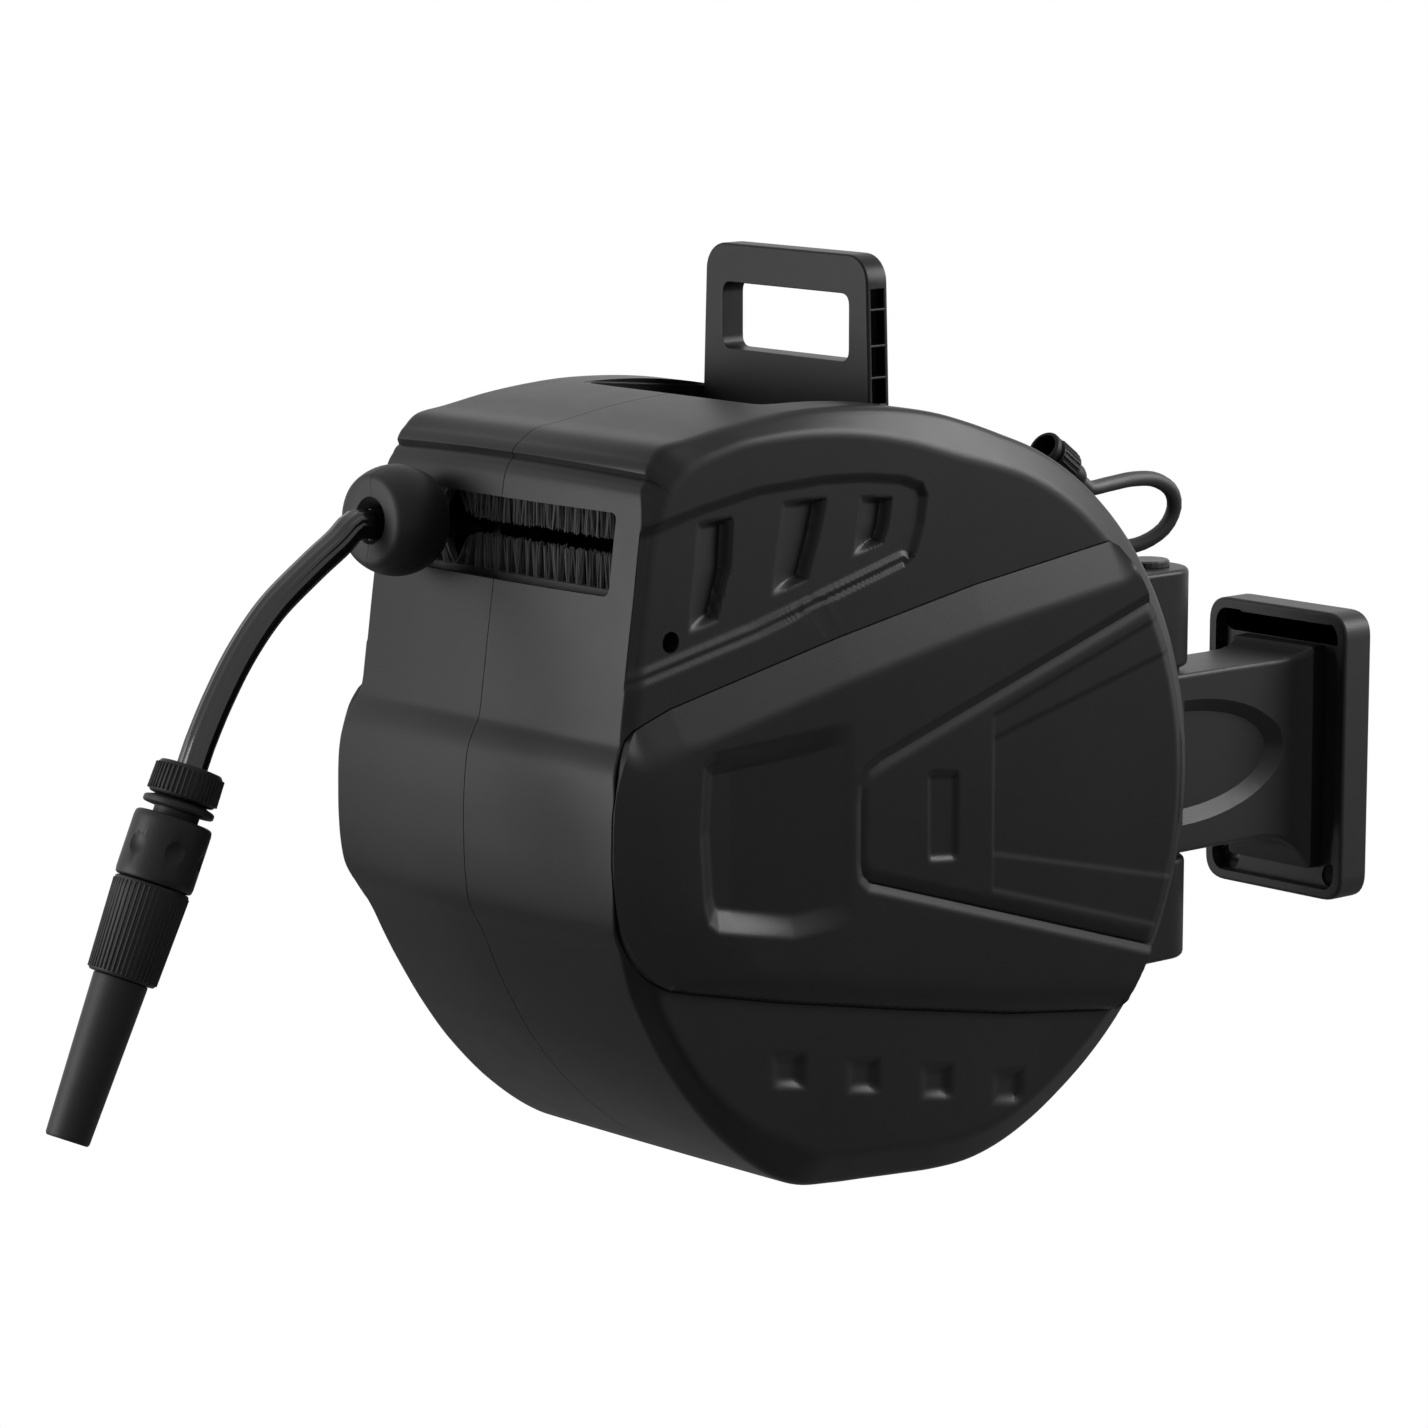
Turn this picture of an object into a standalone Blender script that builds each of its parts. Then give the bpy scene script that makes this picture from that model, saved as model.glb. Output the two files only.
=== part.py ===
"""Retractable hose reel on a swivelling wall bracket, modelled in metres with +Z up.

The wall is the plane Y = 0, the hose leaves towards -Y and the drum turns about X.
"""

import math

import bmesh
import bpy
from mathutils import Matrix, Vector

# Clearances
GAP = 0.0003
RUNNING_GAP = 0.0005
GEAR_BACKLASH = 0.0006

# Wall plate
PLATE_WIDTH = 0.114
PLATE_HEIGHT = 0.180
PLATE_DEPTH = 0.024
PLATE_CORNER = 0.012
PLATE_RIM = 0.006
TRAY_DEPTH = 0.008
WALL_HOLE_RADIUS = 0.004
WALL_HOLE_X = 0.042
WALL_HOLE_Z = 0.076

# Bracket arm, pin and ears
PIVOT_Y = -0.140
ARM_HALF_WIDTH = 0.026
ARM_TOP = 0.062
ARM_BOTTOM = -0.048
ARM_FLARE = 0.016
PAD_HALF_WIDTH = 0.034
PAD_TOP = 0.068
PAD_BOTTOM = -0.072
PAD_DEPTH = 0.011
ARM_RECESS_DEPTH = 0.005
ARM_RECESS_REACH = 0.092
ARM_RECESS_HALF_HEIGHT = 0.039
ARM_RECESS_Z = 0.008
PIN_RADIUS = 0.008
PIN_HEAD_RADIUS = 0.013
PIN_HEAD_HEIGHT = 0.004
WASHER_RADIUS = 0.020
WASHER_THICKNESS = 0.003
EAR_RADIUS = 0.026
UPPER_EAR_HEIGHT = 0.060
LOWER_EAR_HEIGHT = 0.062
EAR_NECK_HALF_WIDTH = 0.023

# Casing
DRUM_Y = -0.427
DRUM_Z = 0.026
CASING_CENTRE_Y = -0.432
CASING_RADIUS = 0.217
CASING_FOOT_Z = -0.1785
CASING_CROWN = 0.005
TOP_CROWN_SHARE = 0.3
CASING_HALF_WIDTH = 0.113
SHOULDER_X = 0.104
SIDE_INSET = 0.017
INSET_UNDER_NOSE = 0.60
INSET_AT_BROW = 0.45
WALL = 0.003
SIDE_WALL = 0.006
TOP_ARCH_Z = 0.259
TOP_ARCH_Y = -0.512
TOP_ARCH_FALL = 1.17
BROW_REACH = 0.202
BROW_Z = 0.231
BROW_CHAMFER = 0.012
NOSE_PROFILE = (
    (0.172, -0.139, 0.50),
    (0.194, -0.110, 0.40),
    (0.215, -0.076, 0.30),
    (0.233, -0.036, 0.20),
    (0.240, 0.004, 0.20),
    (0.241, 0.026, 0.20),
    (0.238, 0.052, 0.20),
    (0.228, 0.070, 0.25),
    (0.223, 0.097, 0.25),
    (0.214, 0.164, 0.25),
)
CASING_ARC_START = 75.0
CASING_ARC_END = -130.0

# Outlet window and brushes
WINDOW_HALF_WIDTH = 0.091
WINDOW_BOTTOM = 0.168
WINDOW_TOP = 0.213
BRUSH_SLOT = 0.006
BRUSH_BACKING_HEIGHT = 0.008
BRUSH_BACKING_DEPTH = 0.008
BRUSH_Y = -0.624
BRISTLE_COLUMNS = 76
BRISTLE_ROWS = 4
BRISTLE_TIP_SCALE = 0.45
RAIL_WALL = 0.0035

# Handle
HANDLE_Y = -0.430
HANDLE_PIVOT_Z = 0.246
HANDLE_TOP = 0.334
HANDLE_HALF_BASE = 0.069
HANDLE_HALF_TOP = 0.0665
HANDLE_THICKNESS = 0.016
HANDLE_CORNER = 0.016
GRIP_HALF_WIDTH = 0.052
GRIP_BOTTOM = 0.2745
GRIP_TOP = 0.312
GRIP_CORNER = 0.006
HANDLE_PIN_RADIUS = 0.004
RECESS_CLEARANCE = 0.004
RECESS_WALL = 0.007

# Side covers
BAND_FACE_X = 0.1205
BAND_EDGE = 0.005
BAND_TOP_FRONT = (-0.648, 0.100)
BAND_TOP_REAR_ANGLE = 46.0
BAND_BOTTOM_FRONT = (-0.624, -0.043)
BAND_BOTTOM_REAR_ANGLE = -42.0
BAND_NOSE_Y = -0.667
COVER_ANGLE_TOP = 31.0
COVER_ANGLE_BOTTOM = -29.0
COVER_FRONT_Y = -0.484
COVER_FRONT_TOP = 0.056
COVER_FRONT_BOTTOM = -0.001
COVER_THICKNESS = 0.003
COVER_SEAM = 0.0008
COVER_RIM_RADIUS = 0.199
POCKET_DEPTH = 0.0065
LABEL_DEPTH = 0.0008
LOUVRE_DEPTH = 0.0025
SCOOP_DEPTH = 0.002
DIMPLE_DEPTH = 0.003

# Casing screws
SCREW_PLACES = ((-0.620, 0.144), (-0.612, -0.012), (-0.240, 0.030))
SCREW_BOSS_RADIUS = 0.0085
SCREW_HEAD_RADIUS = 0.0048
SCREW_HEAD_LENGTH = 0.004
SCREW_SHANK_RADIUS = 0.002
SCREW_SUNK = 0.016
SCREW_GRIP = 0.018

# Drum
AXLE_RADIUS = 0.012
BUSH_RADIUS = 0.016
BUSH_LENGTH = 0.010
DRUM_CORE_RADIUS = 0.070
CORE_SHELL = 0.004
FLANGE_RADIUS = 0.165
FLANGE_THICKNESS = 0.003
FLANGE_X = 0.0713
WOUND_RADIUS = 0.140
HOSE_RADIUS = 0.0085
LEAD_ARC_END = 40.0

# Ratchet, pawl and spring
RATCHET_TEETH = 24
RATCHET_RADIUS = 0.112
RATCHET_TOOTH = 0.008
RATCHET_THICKNESS = 0.005
RATCHET_PHASE = 14.0
PAWL_REACH = 0.024
PAWL_PIVOT_ANGLE = -60.0
PAWL_LENGTH = 0.036
PAWL_REST_ANGLE = 38.0
PAWL_HUB_RADIUS = 0.008
PAWL_PIN_RADIUS = 0.004
SPRING_CASE_RADIUS = 0.095
SPRING_CASE_WALL = 0.003
SPRING_COVER_THICKNESS = 0.0028
SPRING_TURNS = 5
SPRING_THICKNESS = 0.0018
SPRING_STEPS = 12

# Gear train and hose guide
GEAR_MODULE = 0.004
DRUM_TEETH = 21
IDLER_TEETH = 32
SCREW_TEETH = 14
GEAR_WIDTH = 0.008
GEAR_X = -0.083
SCREW_DIRECTION = 140.6
IDLER_PIN_RADIUS = 0.005
SCREW_SHAFT_RADIUS = 0.009
SCREW_JOURNAL_RADIUS = 0.005
GUIDE_ROD_RADIUS = 0.005
GUIDE_ROD_Y = -0.580
GUIDE_ROD_Z = 0.222
BEARING_BOSS_LENGTH = 0.012
GUIDE_X = -0.061
GUIDE_HALF_WIDTH = 0.015
GUIDE_FRONT = -0.607
GUIDE_REAR = -0.565
GUIDE_BOTTOM = 0.137
GUIDE_TOP = 0.235

# Hose stop, free hose and nozzle
EXIT_Y = -0.640
EXIT_Z = 0.1915
STOP_Y = -0.668
STOP_RADIUS = 0.0295
STOP_HALF_LENGTH = 0.019
NUT_RADIUS = 0.0194
NUT_LENGTH = 0.018
STEM_RADIUS = 0.009
RING_RADIUS = 0.0195
NECK_RADIUS = 0.0125
SLEEVE_START = 0.0286
SLEEVE_RADIUS = 0.02135
SLEEVE_LENGTH = 0.0364
COLLAR_RADIUS = 0.021
COLLAR_END_RADIUS = 0.0189
COLLAR_LENGTH = 0.0526
NOZZLE_RADIUS = 0.0149
NOZZLE_TIP_RADIUS = 0.012
NOZZLE_BORE = 0.007
NOZZLE_LENGTH = 0.089
HOSE_ROUTE = (
    (-0.7075, 0.1872),
    (-0.7262, 0.1752),
    (-0.7526, 0.1561),
    (-0.7729, 0.1344),
    (-0.7893, 0.1103),
)
NOZZLE_START = (-0.8068, 0.0765)
NOZZLE_TILT = 24.24

# Feed hose, coil and tap connector
FEED_RADIUS = 0.0045
INLET_RADIUS = 0.020
INLET_FACE_X = -0.1527
SPIGOT_X = -0.1442
SPIGOT_RADIUS = 0.0075
SPIGOT_LENGTH = 0.014
COIL_TURNS = 2
COIL_INNER_RADIUS = 0.046
COIL_STEP = 0.0097
COIL_LAYER = 0.0095
COIL_FIRST_X = -0.1254
COIL_POINTS = 24
FEED_IN_ROUTE = (
    (-0.1442, -0.4900, 0.0255),
    (-0.1436, -0.5100, 0.0205),
    (-0.1418, -0.5235, 0.0080),
    (-0.1390, -0.5280, -0.0110),
    (-0.1350, -0.5235, -0.0300),
    (-0.1300, -0.5100, -0.0445),
    (-0.1262, -0.4900, -0.0525),
    (-0.1254, -0.4680, -0.0555),
)
FEED_OUT_ROUTE = (
    (-0.1345, -0.3750, -0.0480),
    (-0.1340, -0.3480, -0.0250),
    (-0.1335, -0.3270, 0.0080),
    (-0.1325, -0.3060, 0.0420),
    (-0.1300, -0.2800, 0.0700),
    (-0.1255, -0.2485, 0.0910),
    (-0.1220, -0.2375, 0.1043),
    (-0.1110, -0.2305, 0.1213),
    (-0.0940, -0.2298, 0.1395),
    (-0.0700, -0.2334, 0.1540),
    (-0.0400, -0.2330, 0.1590),
    (-0.0100, -0.2260, 0.1540),
    (0.0120, -0.2050, 0.1465),
    (0.0240, -0.1810, 0.1440),
    (0.0330, -0.1650, 0.1520),
    (0.0380, -0.1590, 0.1650),
    (0.0415, -0.1650, 0.1775),
    (0.0440, -0.1820, 0.1860),
    (0.0470, -0.2040, 0.1885),
    (0.0505, -0.2270, 0.1880),
)
TAP_END = (0.0545, -0.2575, 0.1936)
TAP_DIRECTION = (0.04, -0.818, 0.576)
TAP_TAIL_RADIUS = 0.0075
TAP_RADIUS = 0.011
TAP_LENGTH = 0.040

# Round pieces
FINE = 24
PLAIN = 20
COARSE = 10

# Joint limits
SWIVEL_LIMIT = 85.0
DRUM_TURNS = 7

# Derived sizes
PITCH_RADIUS_DRUM = GEAR_MODULE * DRUM_TEETH / 2
PITCH_RADIUS_IDLER = GEAR_MODULE * IDLER_TEETH / 2
PITCH_RADIUS_SCREW = GEAR_MODULE * SCREW_TEETH / 2
CAVITY_HALF_WIDTH = CASING_HALF_WIDTH - SIDE_WALL
PAWL_PIVOT_RADIUS = RATCHET_RADIUS + PAWL_REACH
EAR_UPPER_BOTTOM = ARM_TOP + WASHER_THICKNESS + 2 * GAP
EAR_LOWER_TOP = ARM_BOTTOM - WASHER_THICKNESS - 2 * GAP
EAR_TOP = EAR_UPPER_BOTTOM + UPPER_EAR_HEIGHT
EAR_BOTTOM = EAR_LOWER_TOP - LOWER_EAR_HEIGHT
TRAY_FLOOR_Y = TRAY_DEPTH - PLATE_DEPTH
LEAD_RADIUS = WOUND_RADIUS + HOSE_RADIUS + GAP
BRUSH_MIDDLE = (WINDOW_BOTTOM + WINDOW_TOP) / 2
WINDING_HALF_WIDTH = FLANGE_X - GAP
FLANGE_OUTER_X = FLANGE_X + FLANGE_THICKNESS
RATCHET_X = FLANGE_OUTER_X + GAP
SPRING_COVER_X = RATCHET_X + RATCHET_THICKNESS + 0.0013
SPRING_CASE_X = SPRING_COVER_X + SPRING_COVER_THICKNESS + GAP

ALONG_X = Matrix(((0, 0, 1, 0), (1, 0, 0, 0), (0, 1, 0, 0), (0, 0, 0, 1)))
ALONG_Y = Matrix(((1, 0, 0, 0), (0, 0, 1, 0), (0, -1, 0, 0), (0, 0, 0, 1)))
ALONG_Y_FRONT = Matrix(((1, 0, 0, 0), (0, 0, -1, 0), (0, 1, 0, 0), (0, 0, 0, 1)))
ALONG_Z = Matrix()


def polar(radius, degrees, centre=(DRUM_Y, DRUM_Z)):
    """A point of the YZ plane at this radius and angle from the drum's centre; 90 degrees is up."""
    angle = math.radians(degrees)
    return (centre[0] + radius * math.cos(angle), centre[1] + radius * math.sin(angle))


SCREW_AXIS = polar(PITCH_RADIUS_DRUM + 2 * PITCH_RADIUS_IDLER + PITCH_RADIUS_SCREW, SCREW_DIRECTION)
IDLER_AXIS = polar(PITCH_RADIUS_DRUM + PITCH_RADIUS_IDLER, SCREW_DIRECTION)
PAWL_AXIS = polar(PAWL_PIVOT_RADIUS, PAWL_PIVOT_ANGLE)


# Scene and materials
for old in list(bpy.data.objects):
    bpy.data.objects.remove(old, do_unlink=True)

PARTS = bpy.data.collections.new("hose_reel")
CUTTERS = bpy.data.collections.new("hose_reel_cutters")
bpy.context.scene.collection.children.link(PARTS)
bpy.context.scene.collection.children.link(CUTTERS)
COLOURS = {
    "casing": ((0.028, 0.028, 0.030), 0.55, 0.0),
    "cover": ((0.022, 0.022, 0.024), 0.50, 0.0),
    "bracket": ((0.030, 0.030, 0.032), 0.55, 0.0),
    "handle": ((0.034, 0.034, 0.036), 0.55, 0.0),
    "bristle": ((0.012, 0.012, 0.013), 0.70, 0.0),
    "hose": ((0.020, 0.020, 0.021), 0.35, 0.0),
    "connector": ((0.025, 0.025, 0.026), 0.50, 0.0),
    "mechanism": ((0.16, 0.16, 0.17), 0.45, 0.0),
    "steel": ((0.42, 0.43, 0.45), 0.30, 1.0),
}


def paint(obj, colour):
    """Gives the object a material of its own in one of the object's colours."""
    base, roughness, metallic = COLOURS[colour]
    material = bpy.data.materials.new(obj.name)
    material.use_nodes = True
    shader = material.node_tree.nodes["Principled BSDF"]
    shader.inputs["Base Color"].default_value = (*base, 1.0)
    shader.inputs["Roughness"].default_value = roughness
    shader.inputs["Metallic"].default_value = metallic
    obj.data.materials.clear()
    obj.data.materials.append(material)


def add_object(name, data, colour, matrix=ALONG_Z):
    """Links an object as a part, or as a cutter where it has no colour."""
    obj = bpy.data.objects.new(name, data)
    obj.matrix_world = matrix
    if colour is None:
        CUTTERS.objects.link(obj)
        obj.hide_render = True
        obj.display_type = "WIRE"
    else:
        PARTS.objects.link(obj)
        paint(obj, colour)
    return obj


def add_bmesh(name, bm, colour, matrix=ALONG_Z, smooth=False):
    bmesh.ops.recalc_face_normals(bm, faces=bm.faces)
    mesh = bpy.data.meshes.new(name)
    bm.to_mesh(mesh)
    bm.free()
    if smooth:
        mesh.shade_smooth()
        mesh.set_sharp_from_angle(angle=math.radians(35))
    return add_object(name, mesh, colour, matrix)


def curve_to_mesh(obj, colour):
    """Replaces a curve object by its mesh, with the caps welded."""
    bpy.context.view_layer.update()
    graph = bpy.context.evaluated_depsgraph_get()
    mesh = bpy.data.meshes.new_from_object(obj.evaluated_get(graph))
    name = obj.name
    matrix = obj.matrix_world.copy()
    bpy.data.objects.remove(obj)
    bm = bmesh.new()
    bm.from_mesh(mesh)
    bpy.data.meshes.remove(mesh)
    bmesh.ops.remove_doubles(bm, verts=bm.verts, dist=0.000002)
    return add_bmesh(name, bm, colour, matrix)


def box(name, low, high, colour=None):
    bm = bmesh.new()
    bmesh.ops.create_cube(bm, size=1.0)
    low = Vector(low)
    high = Vector(high)
    bmesh.ops.scale(bm, vec=high - low, verts=bm.verts)
    bmesh.ops.translate(bm, vec=(low + high) / 2, verts=bm.verts)
    return add_bmesh(name, bm, colour)


def rod(name, axis, start, end, radius, colour=None, sides=PLAIN, centre=(0.0, 0.0)):
    """A cylinder along one axis; centre holds its other two world coordinates."""
    bm = bmesh.new()
    bmesh.ops.create_cone(
        bm, cap_ends=True, segments=sides, radius1=radius, radius2=radius, depth=end - start
    )
    bmesh.ops.translate(bm, vec=(0, 0, (start + end) / 2), verts=bm.verts)
    places = {
        "X": Matrix.Translation((0, centre[0], centre[1])) @ ALONG_X,
        "Y": Matrix.Translation((centre[0], 0, centre[1])) @ ALONG_Y,
        "Z": Matrix.Translation((centre[0], centre[1], 0)),
    }
    return add_bmesh(name, bm, colour, places[axis], smooth=True)


def slab(name, outlines, low, high, matrix, colour=None):
    """Flat outlines filled and extruded from low to high along the matrix's own Z; inner ones are holes."""
    curve = bpy.data.curves.new(name, "CURVE")
    curve.dimensions = "2D"
    curve.fill_mode = "BOTH"
    curve.extrude = (high - low) / 2
    for outline in outlines:
        spline = curve.splines.new("POLY")
        spline.points.add(len(outline) - 1)
        for point, (x, y) in zip(spline.points, outline):
            point.co = (x, y, 0, 1)
        spline.use_cyclic_u = True
    obj = add_object(name, curve, colour, matrix @ Matrix.Translation((0, 0, (low + high) / 2)))
    return curve_to_mesh(obj, colour)


def turned(name, profile, matrix, colour=None, steps=PLAIN, closed=False):
    """A turned piece about the matrix's Z; the profile lists (radius, height) down its outer side."""
    bm = bmesh.new()
    verts = [bm.verts.new((radius, 0, height)) for radius, height in profile]
    count = len(verts)
    for index in range(count if closed else count - 1):
        bm.edges.new((verts[index], verts[(index + 1) % count]))
    mesh = bpy.data.meshes.new(name)
    bm.to_mesh(mesh)
    bm.free()
    obj = add_object(name, mesh, colour, matrix)
    screw = obj.modifiers.new("turn", "SCREW")
    screw.steps = steps
    screw.render_steps = steps
    screw.use_merge_vertices = True
    screw.merge_threshold = 0.00001
    screw.use_smooth_shade = True
    return obj


def ring(name, inner, outer, low, high, matrix, colour=None, steps=PLAIN):
    profile = ((outer, high), (outer, low), (inner, low), (inner, high))
    return turned(name, profile, matrix, colour, steps, closed=True)


def tube(name, points, radius, colour, resolution=2):
    curve = bpy.data.curves.new(name, "CURVE")
    curve.dimensions = "3D"
    curve.bevel_depth = radius
    curve.bevel_resolution = resolution
    curve.use_fill_caps = True
    spline = curve.splines.new("POLY")
    spline.points.add(len(points) - 1)
    for point, place in zip(spline.points, points):
        point.co = (*place, 1)
    return add_object(name, curve, colour)


def combine(target, tool, operation):
    modifier = target.modifiers.new(tool.name, "BOOLEAN")
    modifier.operation = operation
    modifier.object = tool
    modifier.solver = "EXACT"


def cut(target, *tools):
    for tool in tools:
        combine(target, tool, "DIFFERENCE")


def join(target, *tools):
    for tool in tools:
        combine(target, tool, "UNION")


def hang(empty_name, place, *pieces):
    """An empty on a joint's axis that carries the pieces of one moving body."""
    empty = bpy.data.objects.new(empty_name, None)
    empty.location = place
    empty.empty_display_size = 0.02
    PARTS.objects.link(empty)
    for piece in pieces:
        piece.parent = empty
        piece.matrix_parent_inverse = Matrix.Translation(-Vector(place))
    return empty


def arc(centre, radius, start, end, steps):
    """Points of an arc, in degrees, both ends included."""
    return [polar(radius, start + (end - start) * i / steps, centre) for i in range(steps + 1)]


def rounded_rectangle(half_width, low, high, corner, steps=3):
    """A rectangle about X = 0 from low to high, with rounded corners."""
    x = half_width - corner
    return (
        arc((x, high - corner), corner, 0, 90, steps)
        + arc((-x, high - corner), corner, 90, 180, steps)
        + arc((-x, low + corner), corner, 180, 270, steps)
        + arc((x, low + corner), corner, 270, 360, steps)
    )


def smooth_route(route, spacing):
    """Even points of a smooth curve through the route; its first and last stretch stay straight."""
    points = [Vector(p) for p in route]
    dense = []
    for i in range(len(points) - 3):
        a, b, c, d = points[i : i + 4]
        for k in range(16):
            t = k / 16
            bend = (a * 2 - b * 5 + c * 4 - d) * t**2 + (b * 3 - a - c * 3 + d) * t**3
            dense.append((b * 2 + (c - a) * t + bend) / 2)
    dense.append(points[-2])
    lengths = [(q - p).length for p, q in zip(dense, dense[1:])]
    count = max(2, round(sum(lengths) / spacing))
    step = sum(lengths) / count
    even = [dense[0]]
    walked = 0.0
    for p, q, length in zip(dense, dense[1:], lengths):
        while walked + length >= step * len(even) - 1e-9 and len(even) < count:
            even.append(p.lerp(q, (step * len(even) - walked) / length))
        walked += length
    return [points[0], *even, dense[-1], points[-1]]


# Wall bracket
def make_wall_plate():
    half = PLATE_HEIGHT / 2
    outline = rounded_rectangle(PLATE_WIDTH / 2, -half, half, PLATE_CORNER)
    plate = slab("wall_plate", [outline], 0, PLATE_DEPTH, ALONG_Y_FRONT, "bracket")
    inner = half - PLATE_RIM
    tray_outline = rounded_rectangle(PLATE_WIDTH / 2 - PLATE_RIM, -inner, inner, PLATE_CORNER - PLATE_RIM / 2)
    tray = slab("tray_cutter", [tray_outline], PLATE_DEPTH - TRAY_DEPTH, PLATE_DEPTH + 0.01, ALONG_Y_FRONT)
    cut(plate, tray)
    for x in (-WALL_HOLE_X, WALL_HOLE_X):
        for z in (-WALL_HOLE_Z, WALL_HOLE_Z):
            cut(plate, rod("wall_hole", "Y", -PLATE_DEPTH - 0.01, 0.01, WALL_HOLE_RADIUS, centre=(x, z)))
    return plate


def make_bracket_arm():
    foot_y = TRAY_FLOOR_Y - GAP
    flare_y = foot_y - PAD_DEPTH
    outline = (
        (PIVOT_Y, ARM_TOP),
        (PIVOT_Y, ARM_BOTTOM),
        (PIVOT_Y + EAR_RADIUS, ARM_BOTTOM),
        (flare_y - 0.030, ARM_BOTTOM - ARM_FLARE / 2),
        (flare_y, ARM_BOTTOM - ARM_FLARE),
        (foot_y - 0.002, ARM_BOTTOM - ARM_FLARE),
        (foot_y - 0.002, ARM_TOP - 0.002),
    )
    arm = slab("bracket_arm", [outline], -ARM_HALF_WIDTH, ARM_HALF_WIDTH, ALONG_X, "bracket")
    knuckle = rod("arm_knuckle", "Z", ARM_BOTTOM, ARM_TOP, ARM_HALF_WIDTH, centre=(0, PIVOT_Y), sides=FINE)
    pad_low = (-PAD_HALF_WIDTH, flare_y, PAD_BOTTOM)
    pad = box("arm_pad", pad_low, (PAD_HALF_WIDTH, foot_y, PAD_TOP))
    join(arm, knuckle, pad)
    bore = rod("arm_bore", "Z", ARM_BOTTOM - 0.01, ARM_TOP + 0.01, PIN_RADIUS + GAP, centre=(0, PIVOT_Y))
    cut(arm, bore)
    for side in (-1, 1):
        centre = (PIVOT_Y + 0.004, ARM_RECESS_Z)
        dish = []
        for i in range(13):
            turn = math.pi * i / 12
            out = ARM_RECESS_REACH * math.sin(turn)
            dish.append((centre[0] + out, centre[1] + ARM_RECESS_HALF_HEIGHT * math.cos(turn)))
        faces = sorted((side * (ARM_HALF_WIDTH - ARM_RECESS_DEPTH), side * (ARM_HALF_WIDTH + 0.01)))
        cut(arm, slab("arm_recess_cutter", [dish], faces[0], faces[1], ALONG_X))
    return arm


def make_pivot():
    at_pivot = Matrix.Translation((0, PIVOT_Y, 0))
    head_low = EAR_TOP + GAP
    pin = turned(
        "pivot_pin",
        (
            (0, head_low + PIN_HEAD_HEIGHT),
            (PIN_HEAD_RADIUS - 0.001, head_low + PIN_HEAD_HEIGHT),
            (PIN_HEAD_RADIUS, head_low + PIN_HEAD_HEIGHT - 0.001),
            (PIN_HEAD_RADIUS, head_low),
            (PIN_RADIUS, head_low),
            (PIN_RADIUS, EAR_BOTTOM - 0.003),
            (0, EAR_BOTTOM - 0.003),
        ),
        at_pivot,
        "steel",
    )
    inner = PIN_RADIUS + GAP
    for name, low in (
        ("pivot_washer_upper", ARM_TOP + GAP),
        ("pivot_washer_lower", ARM_BOTTOM - GAP - WASHER_THICKNESS),
    ):
        ring(name, inner, WASHER_RADIUS, low, low + WASHER_THICKNESS, at_pivot, "steel")
    return pin


# Casing
def casing_outline(grow, inset=0.0, bulge=0.0):
    """The casing seen from the side: a round housing with a flat foot, a belt, a flat nose and an arched top.

    Grow moves the whole outline outwards. Inset draws it in, fully round the rear and less at the front.
    Bulge is the crown: it moves the front outwards, and by a share the top and the rear.
    """
    rear = []
    centre = (CASING_CENTRE_Y, DRUM_Z)
    for i in range(21):
        angle = CASING_ARC_START + (CASING_ARC_END - CASING_ARC_START) * i / 20
        under_nose = max(0.0, 1 - (angle - CASING_ARC_END) / 20)
        share = 1 - (1 - INSET_UNDER_NOSE) * under_nose
        crown_share = TOP_CROWN_SHARE + (1 - TOP_CROWN_SHARE) * under_nose
        out = grow + bulge * crown_share - inset * share
        y, z = polar(CASING_RADIUS + out, angle, centre)
        rear.append((y, max(z, CASING_FOOT_Z - out)))
    nose = []
    for reach, height, share in NOSE_PROFILE:
        drop = min(height / CASING_RADIUS, 0.0)
        out = grow + bulge - inset * share
        nose.append((DRUM_Y - reach - out * math.sqrt(1 - drop**2), DRUM_Z + height + out * drop))
    brow_y = DRUM_Y - BROW_REACH
    out = grow + bulge - inset * INSET_AT_BROW
    nose.append((brow_y - out, BROW_Z + out * 0.3))
    arch = []
    arch_front = brow_y + BROW_CHAMFER * 0.75
    arch_rear = CASING_CENTRE_Y + CASING_RADIUS * math.cos(math.radians(CASING_ARC_START))
    for i in range(6):
        y = arch_front + (arch_rear - 0.012 - arch_front) * i / 5
        out = grow + bulge * TOP_CROWN_SHARE - inset * (INSET_AT_BROW + (1 - INSET_AT_BROW) * i / 5)
        arch.append((y - out * (1 - i / 5), TOP_ARCH_Z - TOP_ARCH_FALL * (y - TOP_ARCH_Y) ** 2 + out))
    return rear + nose + arch


def loft(name, sections, colour=None):
    """A closed solid through outlines of equal count, each at its own X."""
    bm = bmesh.new()
    rings = [[bm.verts.new((x, y, z)) for y, z in outline] for x, outline in sections]
    count = len(rings[0])
    for first, second in zip(rings, rings[1:]):
        for i in range(count):
            j = (i + 1) % count
            bm.faces.new((first[i], first[j], second[j], second[i]))
    bm.faces.new(rings[0])
    bm.faces.new(rings[-1])
    return add_bmesh(name, bm, colour)


def crown(x):
    return CASING_CROWN * (1 - (x / SHOULDER_X) ** 2)


def casing_sections(side, grow=0.0, seam=GAP / 2):
    """Outlines of one half, from the seam to its side face; side is 1 or -1."""
    stations = [seam, 0.55 * SHOULDER_X, 0.85 * SHOULDER_X, SHOULDER_X + grow * 0.5]
    sections = [(side * x, casing_outline(grow, 0.0, max(crown(x), 0.0))) for x in stations]
    sections.append((side * (CASING_HALF_WIDTH + grow), casing_outline(grow * 0.5, SIDE_INSET)))
    return sections


def casing_block(name, grow):
    """The whole casing as one solid block, for trimming what sits on it."""
    right = casing_sections(1, grow)
    left = casing_sections(-1, grow)
    return loft(name, left[::-1] + right[1:])


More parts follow.
